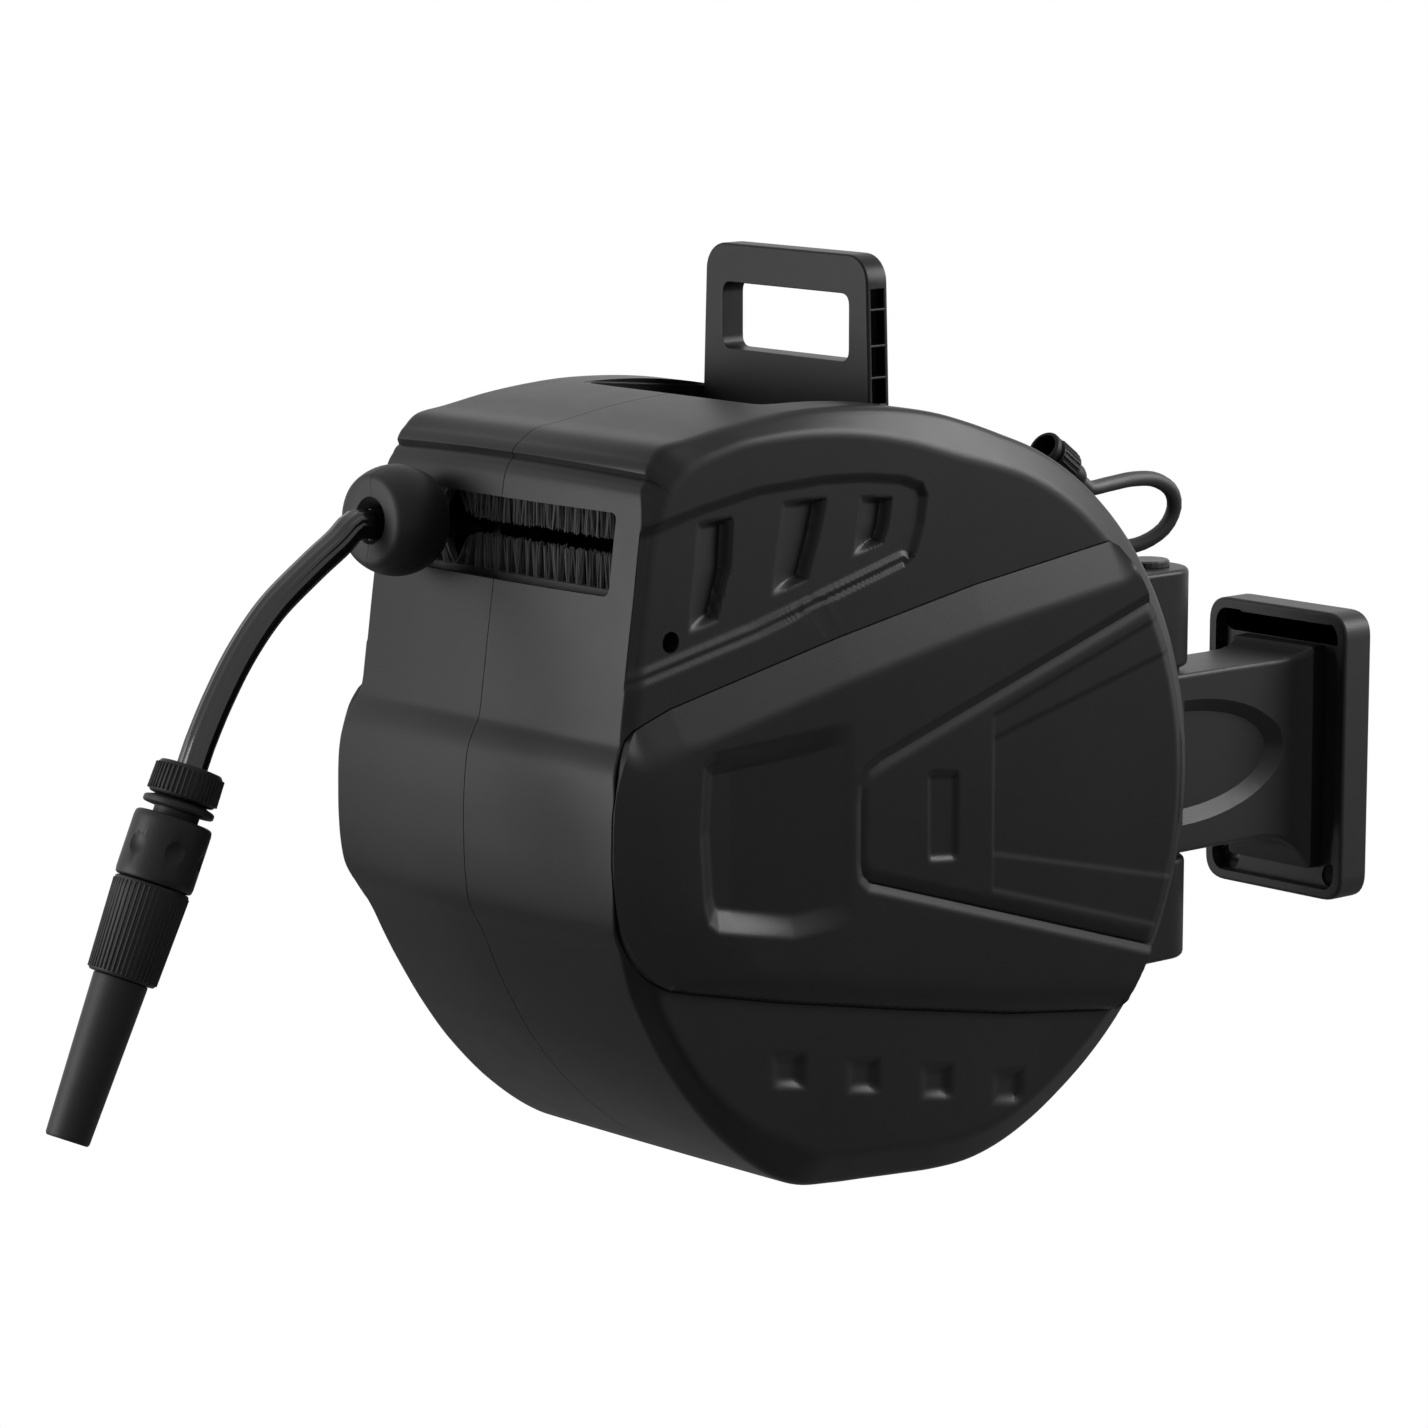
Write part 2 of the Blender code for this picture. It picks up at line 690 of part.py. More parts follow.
def casing_cavity():
    """The hollow of the casing, less every boss, rail and tub that stays in it."""
    slope = SIDE_INSET / (CASING_HALF_WIDTH - SHOULDER_X)
    lean = math.sqrt(1 + slope**2)
    shoulder = SHOULDER_X - WALL * (lean - 1) / slope
    side_inset = SIDE_INSET - slope * SIDE_WALL
    inner = []
    for x in (0.0, 0.55 * SHOULDER_X, 0.85 * SHOULDER_X, shoulder):
        inner.append((x, casing_outline(-WALL, 0.0, max(crown(x), 0.0))))
    inner.append((CAVITY_HALF_WIDTH, casing_outline(-WALL * lean, side_inset)))
    left = [(-x, outline) for x, outline in inner[:0:-1]]
    cavity = loft("casing_cavity", left + inner)
    deep = CAVITY_HALF_WIDTH + 0.001
    half = HANDLE_HALF_BASE + RECESS_CLEARANCE + RECESS_WALL
    tub_low = (-half, recess_front() - WALL, recess_floor() - WALL)
    axle = (DRUM_Y, DRUM_Z)
    bush_end = BUSH_LENGTH - deep
    idler_end = GEAR_X - GEAR_WIDTH / 2 - 0.002
    pawl_start = RATCHET_X + RATCHET_THICKNESS + 0.003
    cut(
        cavity,
        box("recess_tub", tub_low, (half, recess_rear() + WALL, 0.3)),
        rod("axle_boss", "X", -deep, bush_end, BUSH_RADIUS + 0.008, centre=axle, sides=COARSE),
        rod("idler_boss", "X", -deep, idler_end, IDLER_PIN_RADIUS + 0.005, centre=IDLER_AXIS, sides=COARSE),
        rod("pawl_boss", "X", pawl_start, deep, PAWL_HUB_RADIUS, centre=PAWL_AXIS, sides=COARSE),
    )
    for place in SCREW_PLACES:
        cut(cavity, rod("screw_boss", "X", -deep, deep, SCREW_BOSS_RADIUS, centre=place, sides=COARSE))
    for start in (-deep, deep - BEARING_BOSS_LENGTH):
        end = start + BEARING_BOSS_LENGTH
        for place, radius in (
            (SCREW_AXIS, SCREW_JOURNAL_RADIUS + 0.005),
            ((GUIDE_ROD_Y, GUIDE_ROD_Z), GUIDE_ROD_RADIUS + 0.004),
        ):
            cut(cavity, rod("bearing_boss", "X", start, end, radius, centre=place, sides=COARSE))
    for low, high in (rail_span(1), rail_span(-1)):
        y = BRUSH_BACKING_DEPTH / 2 + RAIL_WALL
        rail_half = WINDOW_HALF_WIDTH + RAIL_WALL
        cut(cavity, box("brush_rail", (-rail_half, BRUSH_Y - y - 0.02, low), (rail_half, BRUSH_Y + y, high)))
    return cavity


def rail_span(side):
    """Lowest and highest Z of a brush rail: side 1 is over the window and -1 under it."""
    edge = WINDOW_TOP if side > 0 else WINDOW_BOTTOM
    far = edge + side * (BRUSH_BACKING_HEIGHT + RAIL_WALL)
    return sorted((edge + side * GAP, far))


def recess_front():
    return HANDLE_Y - (HANDLE_TOP - HANDLE_PIVOT_Z) - RECESS_CLEARANCE


def recess_rear():
    return HANDLE_Y + HANDLE_THICKNESS / 2 + RECESS_CLEARANCE


def recess_floor():
    return HANDLE_PIVOT_Z - HANDLE_THICKNESS / 2 - RECESS_CLEARANCE


def shared_cutters():
    """Openings that both casing halves share."""
    half = HANDLE_HALF_BASE + RECESS_CLEARANCE
    pin = HANDLE_PIN_RADIUS + GAP
    pocket_half = WINDOW_HALF_WIDTH + 0.002 + GAP
    y = BRUSH_BACKING_DEPTH / 2 + GAP
    handle_axis = (HANDLE_Y, HANDLE_PIVOT_Z)
    window_low = (-WINDOW_HALF_WIDTH, -0.70, WINDOW_BOTTOM)
    window_high = (WINDOW_HALF_WIDTH, BRUSH_Y + 0.002, WINDOW_TOP)
    tools = [
        box("handle_recess", (-half, recess_front(), recess_floor()), (half, recess_rear(), 0.3)),
        rod("handle_pin_bore", "X", -half - 0.004, half + 0.004, pin, centre=handle_axis, sides=COARSE),
        box("window_cutter", window_low, window_high),
        rod("pivot_bore", "Z", -0.2, 0.2, PIN_RADIUS + GAP, centre=(0, PIVOT_Y)),
    ]
    for side in (1, -1):
        edge = WINDOW_TOP if side > 0 else WINDOW_BOTTOM
        span = sorted((edge - side * 0.004, edge + side * (BRUSH_BACKING_HEIGHT + GAP)))
        tools.append(
            box("brush_pocket", (-pocket_half, BRUSH_Y - y, span[0]), (pocket_half, BRUSH_Y + y, span[1]))
        )
    for place, radius in (
        (SCREW_AXIS, SCREW_JOURNAL_RADIUS + GAP),
        ((GUIDE_ROD_Y, GUIDE_ROD_Z), GUIDE_ROD_RADIUS + GAP),
    ):
        reach = CAVITY_HALF_WIDTH - 0.001
        tools.append(rod("guide_bore", "X", -reach, reach, radius, centre=place, sides=PLAIN))
    return tools


def ear_blocks(side):
    """The two ears of one casing half, each a half round boss with a neck into the shell."""
    blocks = []
    for low, high in ((EAR_UPPER_BOTTOM, EAR_TOP), (EAR_BOTTOM, EAR_LOWER_TOP)):
        front_y = DRUM_Y + 0.15
        outline = [(side * GAP / 2, front_y), (side * EAR_NECK_HALF_WIDTH, front_y)]
        first = math.degrees(math.asin(EAR_NECK_HALF_WIDTH / EAR_RADIUS)) - 90
        for i in range(9):
            angle = math.radians(first + (90 - first) * i / 8)
            x = max(EAR_RADIUS * math.cos(angle), GAP / 2)
            outline.append((side * x, PIVOT_Y + EAR_RADIUS * math.sin(angle)))
        blocks.append(slab("ear_block", [outline], low, high, ALONG_Z))
    return blocks


def louvre_cutters(side):
    """The shallow upper recess with its three scoops, the screw hole's rim and the four lower dimples."""
    face = CASING_HALF_WIDTH
    outline = (
        (-0.680, 0.120),
        (-0.646, 0.124),
        (-0.457, 0.168),
        (-0.445, 0.176),
        (-0.438, 0.212),
        (-0.456, 0.2195),
        (-0.495, 0.2230),
        (-0.545, 0.2235),
        (-0.600, 0.2180),
        (-0.680, 0.2000),
    )
    span = sorted((side * (face - LOUVRE_DEPTH), side * (face + 0.02)))
    tools = [slab("louvre_cutter", [outline], span[0], span[1], ALONG_X)]
    scoops = ((-0.574, 0.145, 0.196), (-0.512, 0.165, 0.207), (-0.462, 0.180, 0.208))
    floor = face - LOUVRE_DEPTH
    for y, low, high in scoops:
        wedge = (
            (side * (floor - SCOOP_DEPTH), y),
            (side * (floor + 0.001), y),
            (side * (floor + 0.001), y - 0.030),
        )
        tools.append(slab("scoop_cutter", [wedge], low, high, ALONG_Z))
    for i in range(4):
        y = -0.536 + 0.0563 * i
        z = -0.101 - 0.0123 * i
        wedge = (
            (side * (face - DIMPLE_DEPTH), y + 0.010),
            (side * (face + 0.001), y + 0.013),
            (side * (face + 0.001), y - 0.012),
        )
        tools.append(slab("dimple_cutter", [wedge], z - 0.009, z + 0.009, ALONG_Z))
    return tools


def make_casing(side, cavity, tools):
    name = "casing_right" if side > 0 else "casing_left"
    shell = loft(name, casing_sections(side), "casing")
    join(shell, *ear_blocks(side))
    cut(shell, cavity, *tools, *louvre_cutters(side))
    axle = (DRUM_Y, DRUM_Z)
    if side > 0:
        for place in SCREW_PLACES:
            sunk = CASING_HALF_WIDTH - SCREW_SUNK
            cut(
                shell,
                rod("screw_sink", "X", sunk, 0.13, SCREW_HEAD_RADIUS + 0.001, centre=place, sides=COARSE),
                rod("screw_hole", "X", -0.01, 0.13, SCREW_SHANK_RADIUS + GAP, centre=place, sides=COARSE),
            )
        bore = PAWL_PIN_RADIUS + GAP
        cut(shell, rod("pawl_pin_bore", "X", RATCHET_X, 0.1085, bore, centre=PAWL_AXIS, sides=COARSE))
    else:
        bore = SCREW_SHANK_RADIUS + GAP
        for place in SCREW_PLACES:
            cut(shell, rod("screw_thread", "X", -SCREW_GRIP - 0.002, 0.01, bore, centre=place, sides=COARSE))
        cut(
            shell,
            rod("bush_bore", "X", -0.13, -0.08, BUSH_RADIUS + GAP, centre=axle, sides=FINE),
            rod("idler_bore", "X", -0.1085, -0.07, IDLER_PIN_RADIUS + GAP, centre=IDLER_AXIS, sides=COARSE),
        )
    return shell


def make_casing_screws():
    for number, place in enumerate(SCREW_PLACES, start=1):
        head = CASING_HALF_WIDTH - SCREW_SUNK + GAP
        turned(
            f"casing_screw_{number}",
            (
                (0, head + SCREW_HEAD_LENGTH),
                (SCREW_HEAD_RADIUS, head + SCREW_HEAD_LENGTH - 0.001),
                (SCREW_HEAD_RADIUS, head),
                (SCREW_SHANK_RADIUS, head),
                (SCREW_SHANK_RADIUS, -SCREW_GRIP),
                (0, -SCREW_GRIP - 0.001),
            ),
            Matrix.Translation((0, *place)) @ ALONG_X,
            "steel",
            steps=12,
        )


# Side covers
def cover_corners(margin):
    """The cover's corners, drawn in by a margin; the rear ones lie on the side face's round rim."""
    upper = polar(COVER_RIM_RADIUS, COVER_ANGLE_TOP)
    lower = polar(COVER_RIM_RADIUS, COVER_ANGLE_BOTTOM)
    upper = (upper[0], upper[1] - margin)
    lower = (lower[0], lower[1] + margin)
    front = COVER_FRONT_Y + margin
    return upper, lower, (front, COVER_FRONT_BOTTOM + margin), (front, COVER_FRONT_TOP - margin)


def make_band(side):
    name = "side_band_right" if side > 0 else "side_band_left"
    upper, lower, front_low, front_high = cover_corners(0.0)
    top_rear = polar(COVER_RIM_RADIUS, BAND_TOP_REAR_ANGLE)
    bottom_rear = polar(COVER_RIM_RADIUS, BAND_BOTTOM_REAR_ANGLE)
    nose_middle = (BAND_TOP_FRONT[1] + BAND_BOTTOM_FRONT[1]) / 2
    outline = [
        top_rear,
        BAND_TOP_FRONT,
        (BAND_NOSE_Y + 0.005, nose_middle + 0.045),
        (BAND_NOSE_Y, nose_middle + 0.012),
        (BAND_NOSE_Y + 0.007, nose_middle - 0.025),
        (BAND_NOSE_Y + 0.018, nose_middle - 0.055),
        BAND_BOTTOM_FRONT,
        (-0.459, -0.078),
        bottom_rear,
        polar(COVER_RIM_RADIUS, (BAND_BOTTOM_REAR_ANGLE + COVER_ANGLE_BOTTOM) / 2),
        lower,
        (front_low[0] + 0.008, front_low[1] - 0.002),
        (front_low[0], front_low[1] + 0.007),
        (front_high[0], front_high[1] - 0.007),
        (front_high[0] + 0.008, front_high[1] + 0.003),
        upper,
        polar(COVER_RIM_RADIUS, (BAND_TOP_REAR_ANGLE + COVER_ANGLE_TOP) / 2),
    ]
    bm = bmesh.new()
    inner_x = side * (SHOULDER_X - 0.012)
    outer_x = side * BAND_FACE_X
    inner_ring = [bm.verts.new((inner_x, y, z)) for y, z in outline]
    outer_ring = [bm.verts.new((outer_x, y, z)) for y, z in outline]
    count = len(outline)
    for i in range(count):
        j = (i + 1) % count
        bm.faces.new((inner_ring[i], inner_ring[j], outer_ring[j], outer_ring[i]))
    bm.faces.new(inner_ring)
    face = bm.faces.new(outer_ring)
    bmesh.ops.bevel(bm, geom=list(face.edges), offset=BAND_EDGE, segments=2, affect="EDGES", profile=0.6)
    band = add_bmesh(name, bm, "cover")
    pocket = (
        (side * (BAND_FACE_X - POCKET_DEPTH), -0.590),
        (side * (BAND_FACE_X + 0.01), -0.595),
        (side * (BAND_FACE_X + 0.01), -0.490),
        (side * BAND_FACE_X, -0.490),
    )
    cut(band, casing_block(f"{name}_trim", GAP), slab("pocket_cutter", [pocket], -0.014, 0.066, ALONG_Z))
    return band


def make_cover(side):
    name = "side_cover_right" if side > 0 else "side_cover_left"
    upper, lower, front_low, front_high = cover_corners(COVER_SEAM)
    outline = [
        upper,
        (front_high[0] + 0.008, front_high[1] + 0.003),
        (front_high[0], front_high[1] - 0.007),
        (front_low[0], front_low[1] + 0.007),
        (front_low[0] + 0.008, front_low[1] - 0.002),
        lower,
    ]
    outline += arc((DRUM_Y, DRUM_Z), COVER_RIM_RADIUS, COVER_ANGLE_BOTTOM + 2, COVER_ANGLE_TOP - 2, 6)
    near = CASING_HALF_WIDTH + GAP
    far = near + COVER_THICKNESS
    cover = slab(name, [outline], *sorted((side * near, side * far)), ALONG_X, "cover")
    span = sorted((side * (far - LABEL_DEPTH), side * (far + 0.01)))
    label = ((-0.378, 0.078), (-0.378, -0.005), (-0.246, -0.022), (-0.246, 0.112))
    cut(cover, slab("label_cutter", [label], span[0], span[1], ALONG_X))
    groove = ((-0.432, 0.051), (-0.432, -0.001), (-0.411, -0.003), (-0.411, 0.052))
    if side > 0:
        cut(cover, slab("groove_cutter", [groove], span[0], span[1], ALONG_X))
    else:
        axle = (DRUM_Y, DRUM_Z)
        cut(cover, rod("inlet_opening", "X", -0.14, -0.10, INLET_RADIUS + 0.001, centre=axle, sides=FINE))
    return cover


# Carrying handle
def make_handle():
    top_z = HANDLE_TOP - HANDLE_CORNER
    outer = (
        [(HANDLE_HALF_BASE, HANDLE_PIVOT_Z)]
        + arc((HANDLE_HALF_TOP - HANDLE_CORNER, top_z), HANDLE_CORNER, 0, 90, 4)
        + arc((HANDLE_CORNER - HANDLE_HALF_TOP, top_z), HANDLE_CORNER, 90, 180, 4)
        + [(-HANDLE_HALF_BASE, HANDLE_PIVOT_Z)]
    )
    grip = rounded_rectangle(GRIP_HALF_WIDTH, GRIP_BOTTOM, GRIP_TOP, GRIP_CORNER)
    half = HANDLE_THICKNESS / 2
    matrix = Matrix.Translation((0, HANDLE_Y, 0)) @ ALONG_Y_FRONT
    handle = slab("carry_handle", [outer, grip], -half, half, matrix, "handle")
    axis = (HANDLE_Y, HANDLE_PIVOT_Z)
    join(handle, rod("handle_knuckle", "X", -HANDLE_HALF_BASE, HANDLE_HALF_BASE, half, centre=axis))
    reach = HANDLE_HALF_BASE + 0.01
    cut(handle, rod("handle_bore", "X", -reach, reach, HANDLE_PIN_RADIUS + GAP, centre=axis, sides=COARSE))
    for side in (-1, 1):
        for low, high in ((0.2475, 0.2785), (0.2815, 0.3070)):
            channel_x = sorted((side * (HANDLE_HALF_TOP - 0.0015), side * (HANDLE_HALF_BASE + 0.01)))
            channel_low = (channel_x[0], HANDLE_Y - 0.005, low)
            channel_high = (channel_x[1], HANDLE_Y + 0.005, high)
            cut(handle, box("handle_channel", channel_low, channel_high))
    pin_reach = HANDLE_HALF_BASE + RECESS_CLEARANCE + 0.0035
    rod("handle_pin", "X", -pin_reach, pin_reach, HANDLE_PIN_RADIUS, "steel", COARSE, axis)
    hang("handle_axis", (0, *axis), handle)
    return handle


# Brush strips
def parted(x):
    """Where a bristle that starts at x ends, bent away from the hose that passes between the strips."""
    off = x - GUIDE_X
    away = HOSE_RADIUS + 0.0015
    return GUIDE_X + math.copysign(math.sqrt(off**2 + away**2), off)


def make_brush(side):
    """A backing strip whose free face carries bristles in a chequered grid of cells."""
    name = "brush_upper" if side > 0 else "brush_lower"
    edge = WINDOW_TOP if side > 0 else WINDOW_BOTTOM
    root_z = edge + side * GAP
    back_z = edge + side * BRUSH_BACKING_HEIGHT
    tip_z = BRUSH_MIDDLE + side * BRUSH_SLOT / 2
    half = WINDOW_HALF_WIDTH + 0.002
    depth = BRUSH_BACKING_DEPTH
    bm = bmesh.new()
    columns = BRISTLE_COLUMNS
    rows = BRISTLE_ROWS
    grid = []
    for row in range(rows + 1):
        y = BRUSH_Y - depth / 2 + depth * row / rows
        grid.append([bm.verts.new((-half + 2 * half * i / columns, y, root_z)) for i in range(columns + 1)])
    cells = []
    for row in range(rows):
        for i in range(columns):
            face = bm.faces.new((grid[row][i], grid[row][i + 1], grid[row + 1][i + 1], grid[row + 1][i]))
            if (row + i) % 2 == 0:
                cells.append(face)
    ends = [line[-1] for line in grid[1:-1]]
    starts = [line[0] for line in grid[-2:0:-1]]
    border = grid[0] + ends + grid[-1][::-1] + starts
    corners = [bm.verts.new((x, y, back_z)) for x, y in (
        (-half, BRUSH_Y - depth / 2), (half, BRUSH_Y - depth / 2),
        (half, BRUSH_Y + depth / 2), (-half, BRUSH_Y + depth / 2),
    )]
    bm.faces.new(corners)
    marks = [0, columns, columns + rows, 2 * columns + rows, len(border)]
    for k in range(4):
        stretch = (border + [border[0]])[marks[k] : marks[k + 1] + 1]
        bm.faces.new(stretch + [corners[(k + 1) % 4], corners[k]])
    made = bmesh.ops.extrude_discrete_faces(bm, faces=cells)
    for face in made["faces"]:
        centre = face.calc_center_median()
        tip_x = parted(centre.x)
        for vert in face.verts:
            vert.co.x = tip_x + (vert.co.x - centre.x) * BRISTLE_TIP_SCALE
            vert.co.y = centre.y + (vert.co.y - centre.y) * BRISTLE_TIP_SCALE
            vert.co.z = tip_z
    return add_bmesh(name, bm, "bristle")


# Drum
def on_drum_axis():
    return Matrix.Translation((0, DRUM_Y, DRUM_Z)) @ ALONG_X


def make_drum():
    axis = on_drum_axis()
    bore = AXLE_RADIUS + GAP
    reach = FLANGE_X - GAP
    inner = DRUM_CORE_RADIUS - CORE_SHELL
    hub = AXLE_RADIUS + 0.008
    core = turned(
        "drum_core",
        (
            (DRUM_CORE_RADIUS, reach),
            (DRUM_CORE_RADIUS, -reach),
            (inner, -reach),
            (inner, -0.004),
            (hub, -0.004),
            (hub, -reach),
            (bore, -reach),
            (bore, reach),
            (hub, reach),
            (hub, 0.004),
            (inner, 0.004),
            (inner, reach),
        ),
        axis,
        "mechanism",
        FINE,
        closed=True,
    )
    pieces = [core]
    for name, low in (("drum_flange_left", -FLANGE_OUTER_X), ("drum_flange_right", FLANGE_X)):
        pieces.append(ring(name, bore, FLANGE_RADIUS, low, low + FLANGE_THICKNESS, axis, "mechanism", FINE))
    axle_left = -CASING_HALF_WIDTH
    axle_right = CAVITY_HALF_WIDTH - GAP
    pieces.append(
        ring("drum_axle", AXLE_RADIUS - 0.004, AXLE_RADIUS, axle_left, axle_right, axis, "steel", FINE)
    )
    wound_inner = DRUM_CORE_RADIUS + GAP
    reach = WINDING_HALF_WIDTH
    pieces.append(ring("hose_on_drum", wound_inner, WOUND_RADIUS, -reach, reach, axis, "hose", FINE))
    pieces.append(make_ratchet_wheel())
    pieces.append(
        make_gear("drum_gear", DRUM_TEETH, (DRUM_Y, DRUM_Z), AXLE_RADIUS, SCREW_DIRECTION, True)
    )
    hang("drum_axis", (0, DRUM_Y, DRUM_Z), *pieces)
    inner_bush = AXLE_RADIUS + GAP
    bush_end = BUSH_LENGTH - CAVITY_HALF_WIDTH
    ring("bush_left", inner_bush, BUSH_RADIUS, -CASING_HALF_WIDTH, bush_end, axis, "mechanism", FINE)
    ring(
        "bush_right",
        inner_bush,
        BUSH_RADIUS,
        CAVITY_HALF_WIDTH - 2 * GAP - BUSH_LENGTH,
        CAVITY_HALF_WIDTH - 2 * GAP,
        axis,
        "mechanism",
        FINE,
    )


def make_ratchet_wheel():
    step = 360.0 / RATCHET_TEETH
    root = RATCHET_RADIUS - RATCHET_TOOTH
    outline = []
    for tooth in range(RATCHET_TEETH):
        steep = RATCHET_PHASE + tooth * step
        outline.append(polar(root, steep - step * 0.45))
        outline.append(polar(root, steep - 0.4))
        outline.append(polar(RATCHET_RADIUS, steep))
    bore = arc((DRUM_Y, DRUM_Z), AXLE_RADIUS + GAP, 0, 360 - 360 / FINE, FINE - 1)
    far = RATCHET_X + RATCHET_THICKNESS
    return slab("ratchet_wheel", [outline, bore], RATCHET_X, far, ALONG_X, "mechanism")


def gear_outline(teeth, centre, phase):
    """Involute teeth, with one tooth centred on the phase direction in degrees."""
    module = GEAR_MODULE
    pitch = module * teeth / 2
    base = pitch * math.cos(math.radians(20))
    root = pitch - 1.25 * module
    tip = pitch + 0.95 * module
    half_tooth = (math.pi * module / 2 - GEAR_BACKLASH) / (2 * pitch)

    def flank(radius):
        """Half the tooth's angle at a radius."""
        if radius <= base:
            roll = 0.0
        else:
            turn = math.acos(base / radius)
            roll = math.tan(turn) - turn
        at_pitch = math.tan(math.radians(20)) - math.radians(20)
        return half_tooth + at_pitch - roll

    outline = []
    for tooth in range(teeth):
        middle = math.radians(phase) + 2 * math.pi * tooth / teeth
        for radius in (root, pitch, tip):
            outline.append(polar(radius, math.degrees(middle - flank(radius)), centre))
        for radius in (tip, pitch, root):
            outline.append(polar(radius, math.degrees(middle + flank(radius)), centre))
    return outline


def make_gear(name, teeth, centre, shaft_radius, phase, tooth_there):
    """A gear whose tooth, or else a gap, lies in the phase direction."""
    turn = phase if tooth_there else phase + 180.0 / teeth
    outline = gear_outline(teeth, centre, turn)
    bore = arc(centre, shaft_radius + GAP, 0, 360 - 360 / PLAIN, PLAIN - 1)
    low = GEAR_X - GEAR_WIDTH / 2
    return slab(name, [outline, bore], low, low + GEAR_WIDTH, ALONG_X, "mechanism")


def make_layering_gear_train():
    idler = make_gear("idler_gear", IDLER_TEETH, IDLER_AXIS, IDLER_PIN_RADIUS, SCREW_DIRECTION + 180, False)
    seat = SCREW_JOURNAL_RADIUS + 0.002
    idler_gap_there = IDLER_TEETH % 2 == 0
    back = SCREW_DIRECTION + 180
    screw_gear = make_gear("screw_gear", SCREW_TEETH, SCREW_AXIS, seat, back, idler_gap_there)
    pin_end = GEAR_X + GEAR_WIDTH / 2 + 0.001
    rod("idler_pin", "X", -0.1082, pin_end, IDLER_PIN_RADIUS, "steel", COARSE, IDLER_AXIS)
    reach = CAVITY_HALF_WIDTH - 0.0015
    journal = SCREW_JOURNAL_RADIUS
    threaded = FLANGE_X + 0.0065
    bearing = CAVITY_HALF_WIDTH - BEARING_BOSS_LENGTH
    screw = turned(
        "layering_screw",
        (
            (0, reach),
            (journal, reach),
            (journal, threaded),
            (SCREW_SHAFT_RADIUS, threaded),
            (SCREW_SHAFT_RADIUS, -threaded),
            (seat, -threaded),
            (seat, -bearing + 0.003),
            (journal, -bearing + 0.003),
            (journal, -reach),
            (0, -reach),
        ),
        Matrix.Translation((0, *SCREW_AXIS)) @ ALONG_X,
        "steel",
    )
    hang("idler_axis", (0, *IDLER_AXIS), idler)
    hang("screw_axis", (0, *SCREW_AXIS), screw, screw_gear)
    rod("guide_rod", "X", -reach, reach, GUIDE_ROD_RADIUS, "steel", PLAIN, (GUIDE_ROD_Y, GUIDE_ROD_Z))


def make_spring_and_pawl():
    axis = on_drum_axis()
    back = CAVITY_HALF_WIDTH - GAP
    case_outer = SPRING_CASE_RADIUS
    bush_hole = BUSH_RADIUS + GAP
    hub = bush_hole + 0.004
    floor = back - SPRING_CASE_WALL
    turned(
        "spring_case",
        (
            (case_outer, back),
            (case_outer, SPRING_CASE_X),
            (case_outer - SPRING_CASE_WALL, SPRING_CASE_X),
            (case_outer - SPRING_CASE_WALL, floor),
            (hub, floor),
            (hub, back - BUSH_LENGTH),
            (bush_hole, back - BUSH_LENGTH),
            (bush_hole, back),
        ),
        axis,
        "mechanism",
        FINE,
        closed=True,
    )
    ring(
        "spring_cover",
        AXLE_RADIUS + 0.002,
        case_outer,
        SPRING_COVER_X,
        SPRING_COVER_X + SPRING_COVER_THICKNESS,
        axis,
        "mechanism",
        FINE,
    )
    inner_radius = AXLE_RADIUS + 0.0016
    outer_radius = case_outer - SPRING_CASE_WALL - 0.003
    count = SPRING_TURNS * SPRING_STEPS
    inside = []
    outside = []
    for i in range(count + 1):
        degrees = 360.0 * i / SPRING_STEPS
        radius = inner_radius + (outer_radius - inner_radius) * i / count
        inside.append(polar(radius, degrees))
        outside.append(polar(radius + SPRING_THICKNESS, degrees))
    spring_low = SPRING_CASE_X + 0.0015
    spring_high = back - BUSH_LENGTH - 0.001
    slab("main_spring", [inside + outside[::-1]], spring_low, spring_high, ALONG_X, "steel")

    low = RATCHET_X + GAP
    high = low + RATCHET_THICKNESS - 2 * GAP
    toward = PAWL_PIVOT_ANGLE + 90 + PAWL_REST_ANGLE
    hub_arc = arc(PAWL_AXIS, PAWL_HUB_RADIUS, toward + 70, toward + 290, 10)
    tip = polar(PAWL_LENGTH, toward, PAWL_AXIS)
    blade = [polar(0.0025, toward - 90, tip), polar(0.0025, toward + 90, tip)]
    bore = arc(PAWL_AXIS, PAWL_PIN_RADIUS + GAP, 0, 360 - 360 / COARSE, COARSE - 1)
    pawl = slab("pawl", [blade + hub_arc, bore], low, high, ALONG_X, "mechanism")
    hang("pawl_axis", (0, *PAWL_AXIS), pawl)
    rod("pawl_pin", "X", low, 0.1082, PAWL_PIN_RADIUS, "steel", COARSE, PAWL_AXIS)
    spring_x = high + 0.0004
    ring(
        "pawl_spring",
        PAWL_PIN_RADIUS + GAP,
        PAWL_PIN_RADIUS + 0.0025,
        spring_x,
        spring_x + 0.0018,
        Matrix.Translation((0, *PAWL_AXIS)) @ ALONG_X,
        "steel",
        COARSE,
    )


# Hose guide, stop, free hose and nozzle
def lead_tangent():
    """Angle at which the hose leaves the winding towards the window."""
    across = (EXIT_Y - DRUM_Y, EXIT_Z - DRUM_Z)
    distance = math.hypot(*across)
    return math.degrees(math.atan2(across[1], across[0]) - math.acos(LEAD_RADIUS / distance))


def hose_slope():
    start = polar(LEAD_RADIUS, lead_tangent())
    return math.atan2(EXIT_Z - start[1], start[0] - EXIT_Y)


def along_hose(y):
    """Height of the straight hose between winding and stop."""
    return EXIT_Z + (EXIT_Y - y) * math.tan(hose_slope())


def hose_frame(y):
    """A frame whose Z runs outwards along the straight hose, from the hose's centre at y."""
    turn = Matrix.Rotation(-hose_slope(), 4, "X")
    return Matrix.Translation((GUIDE_X, y, along_hose(y))) @ turn @ ALONG_Y_FRONT


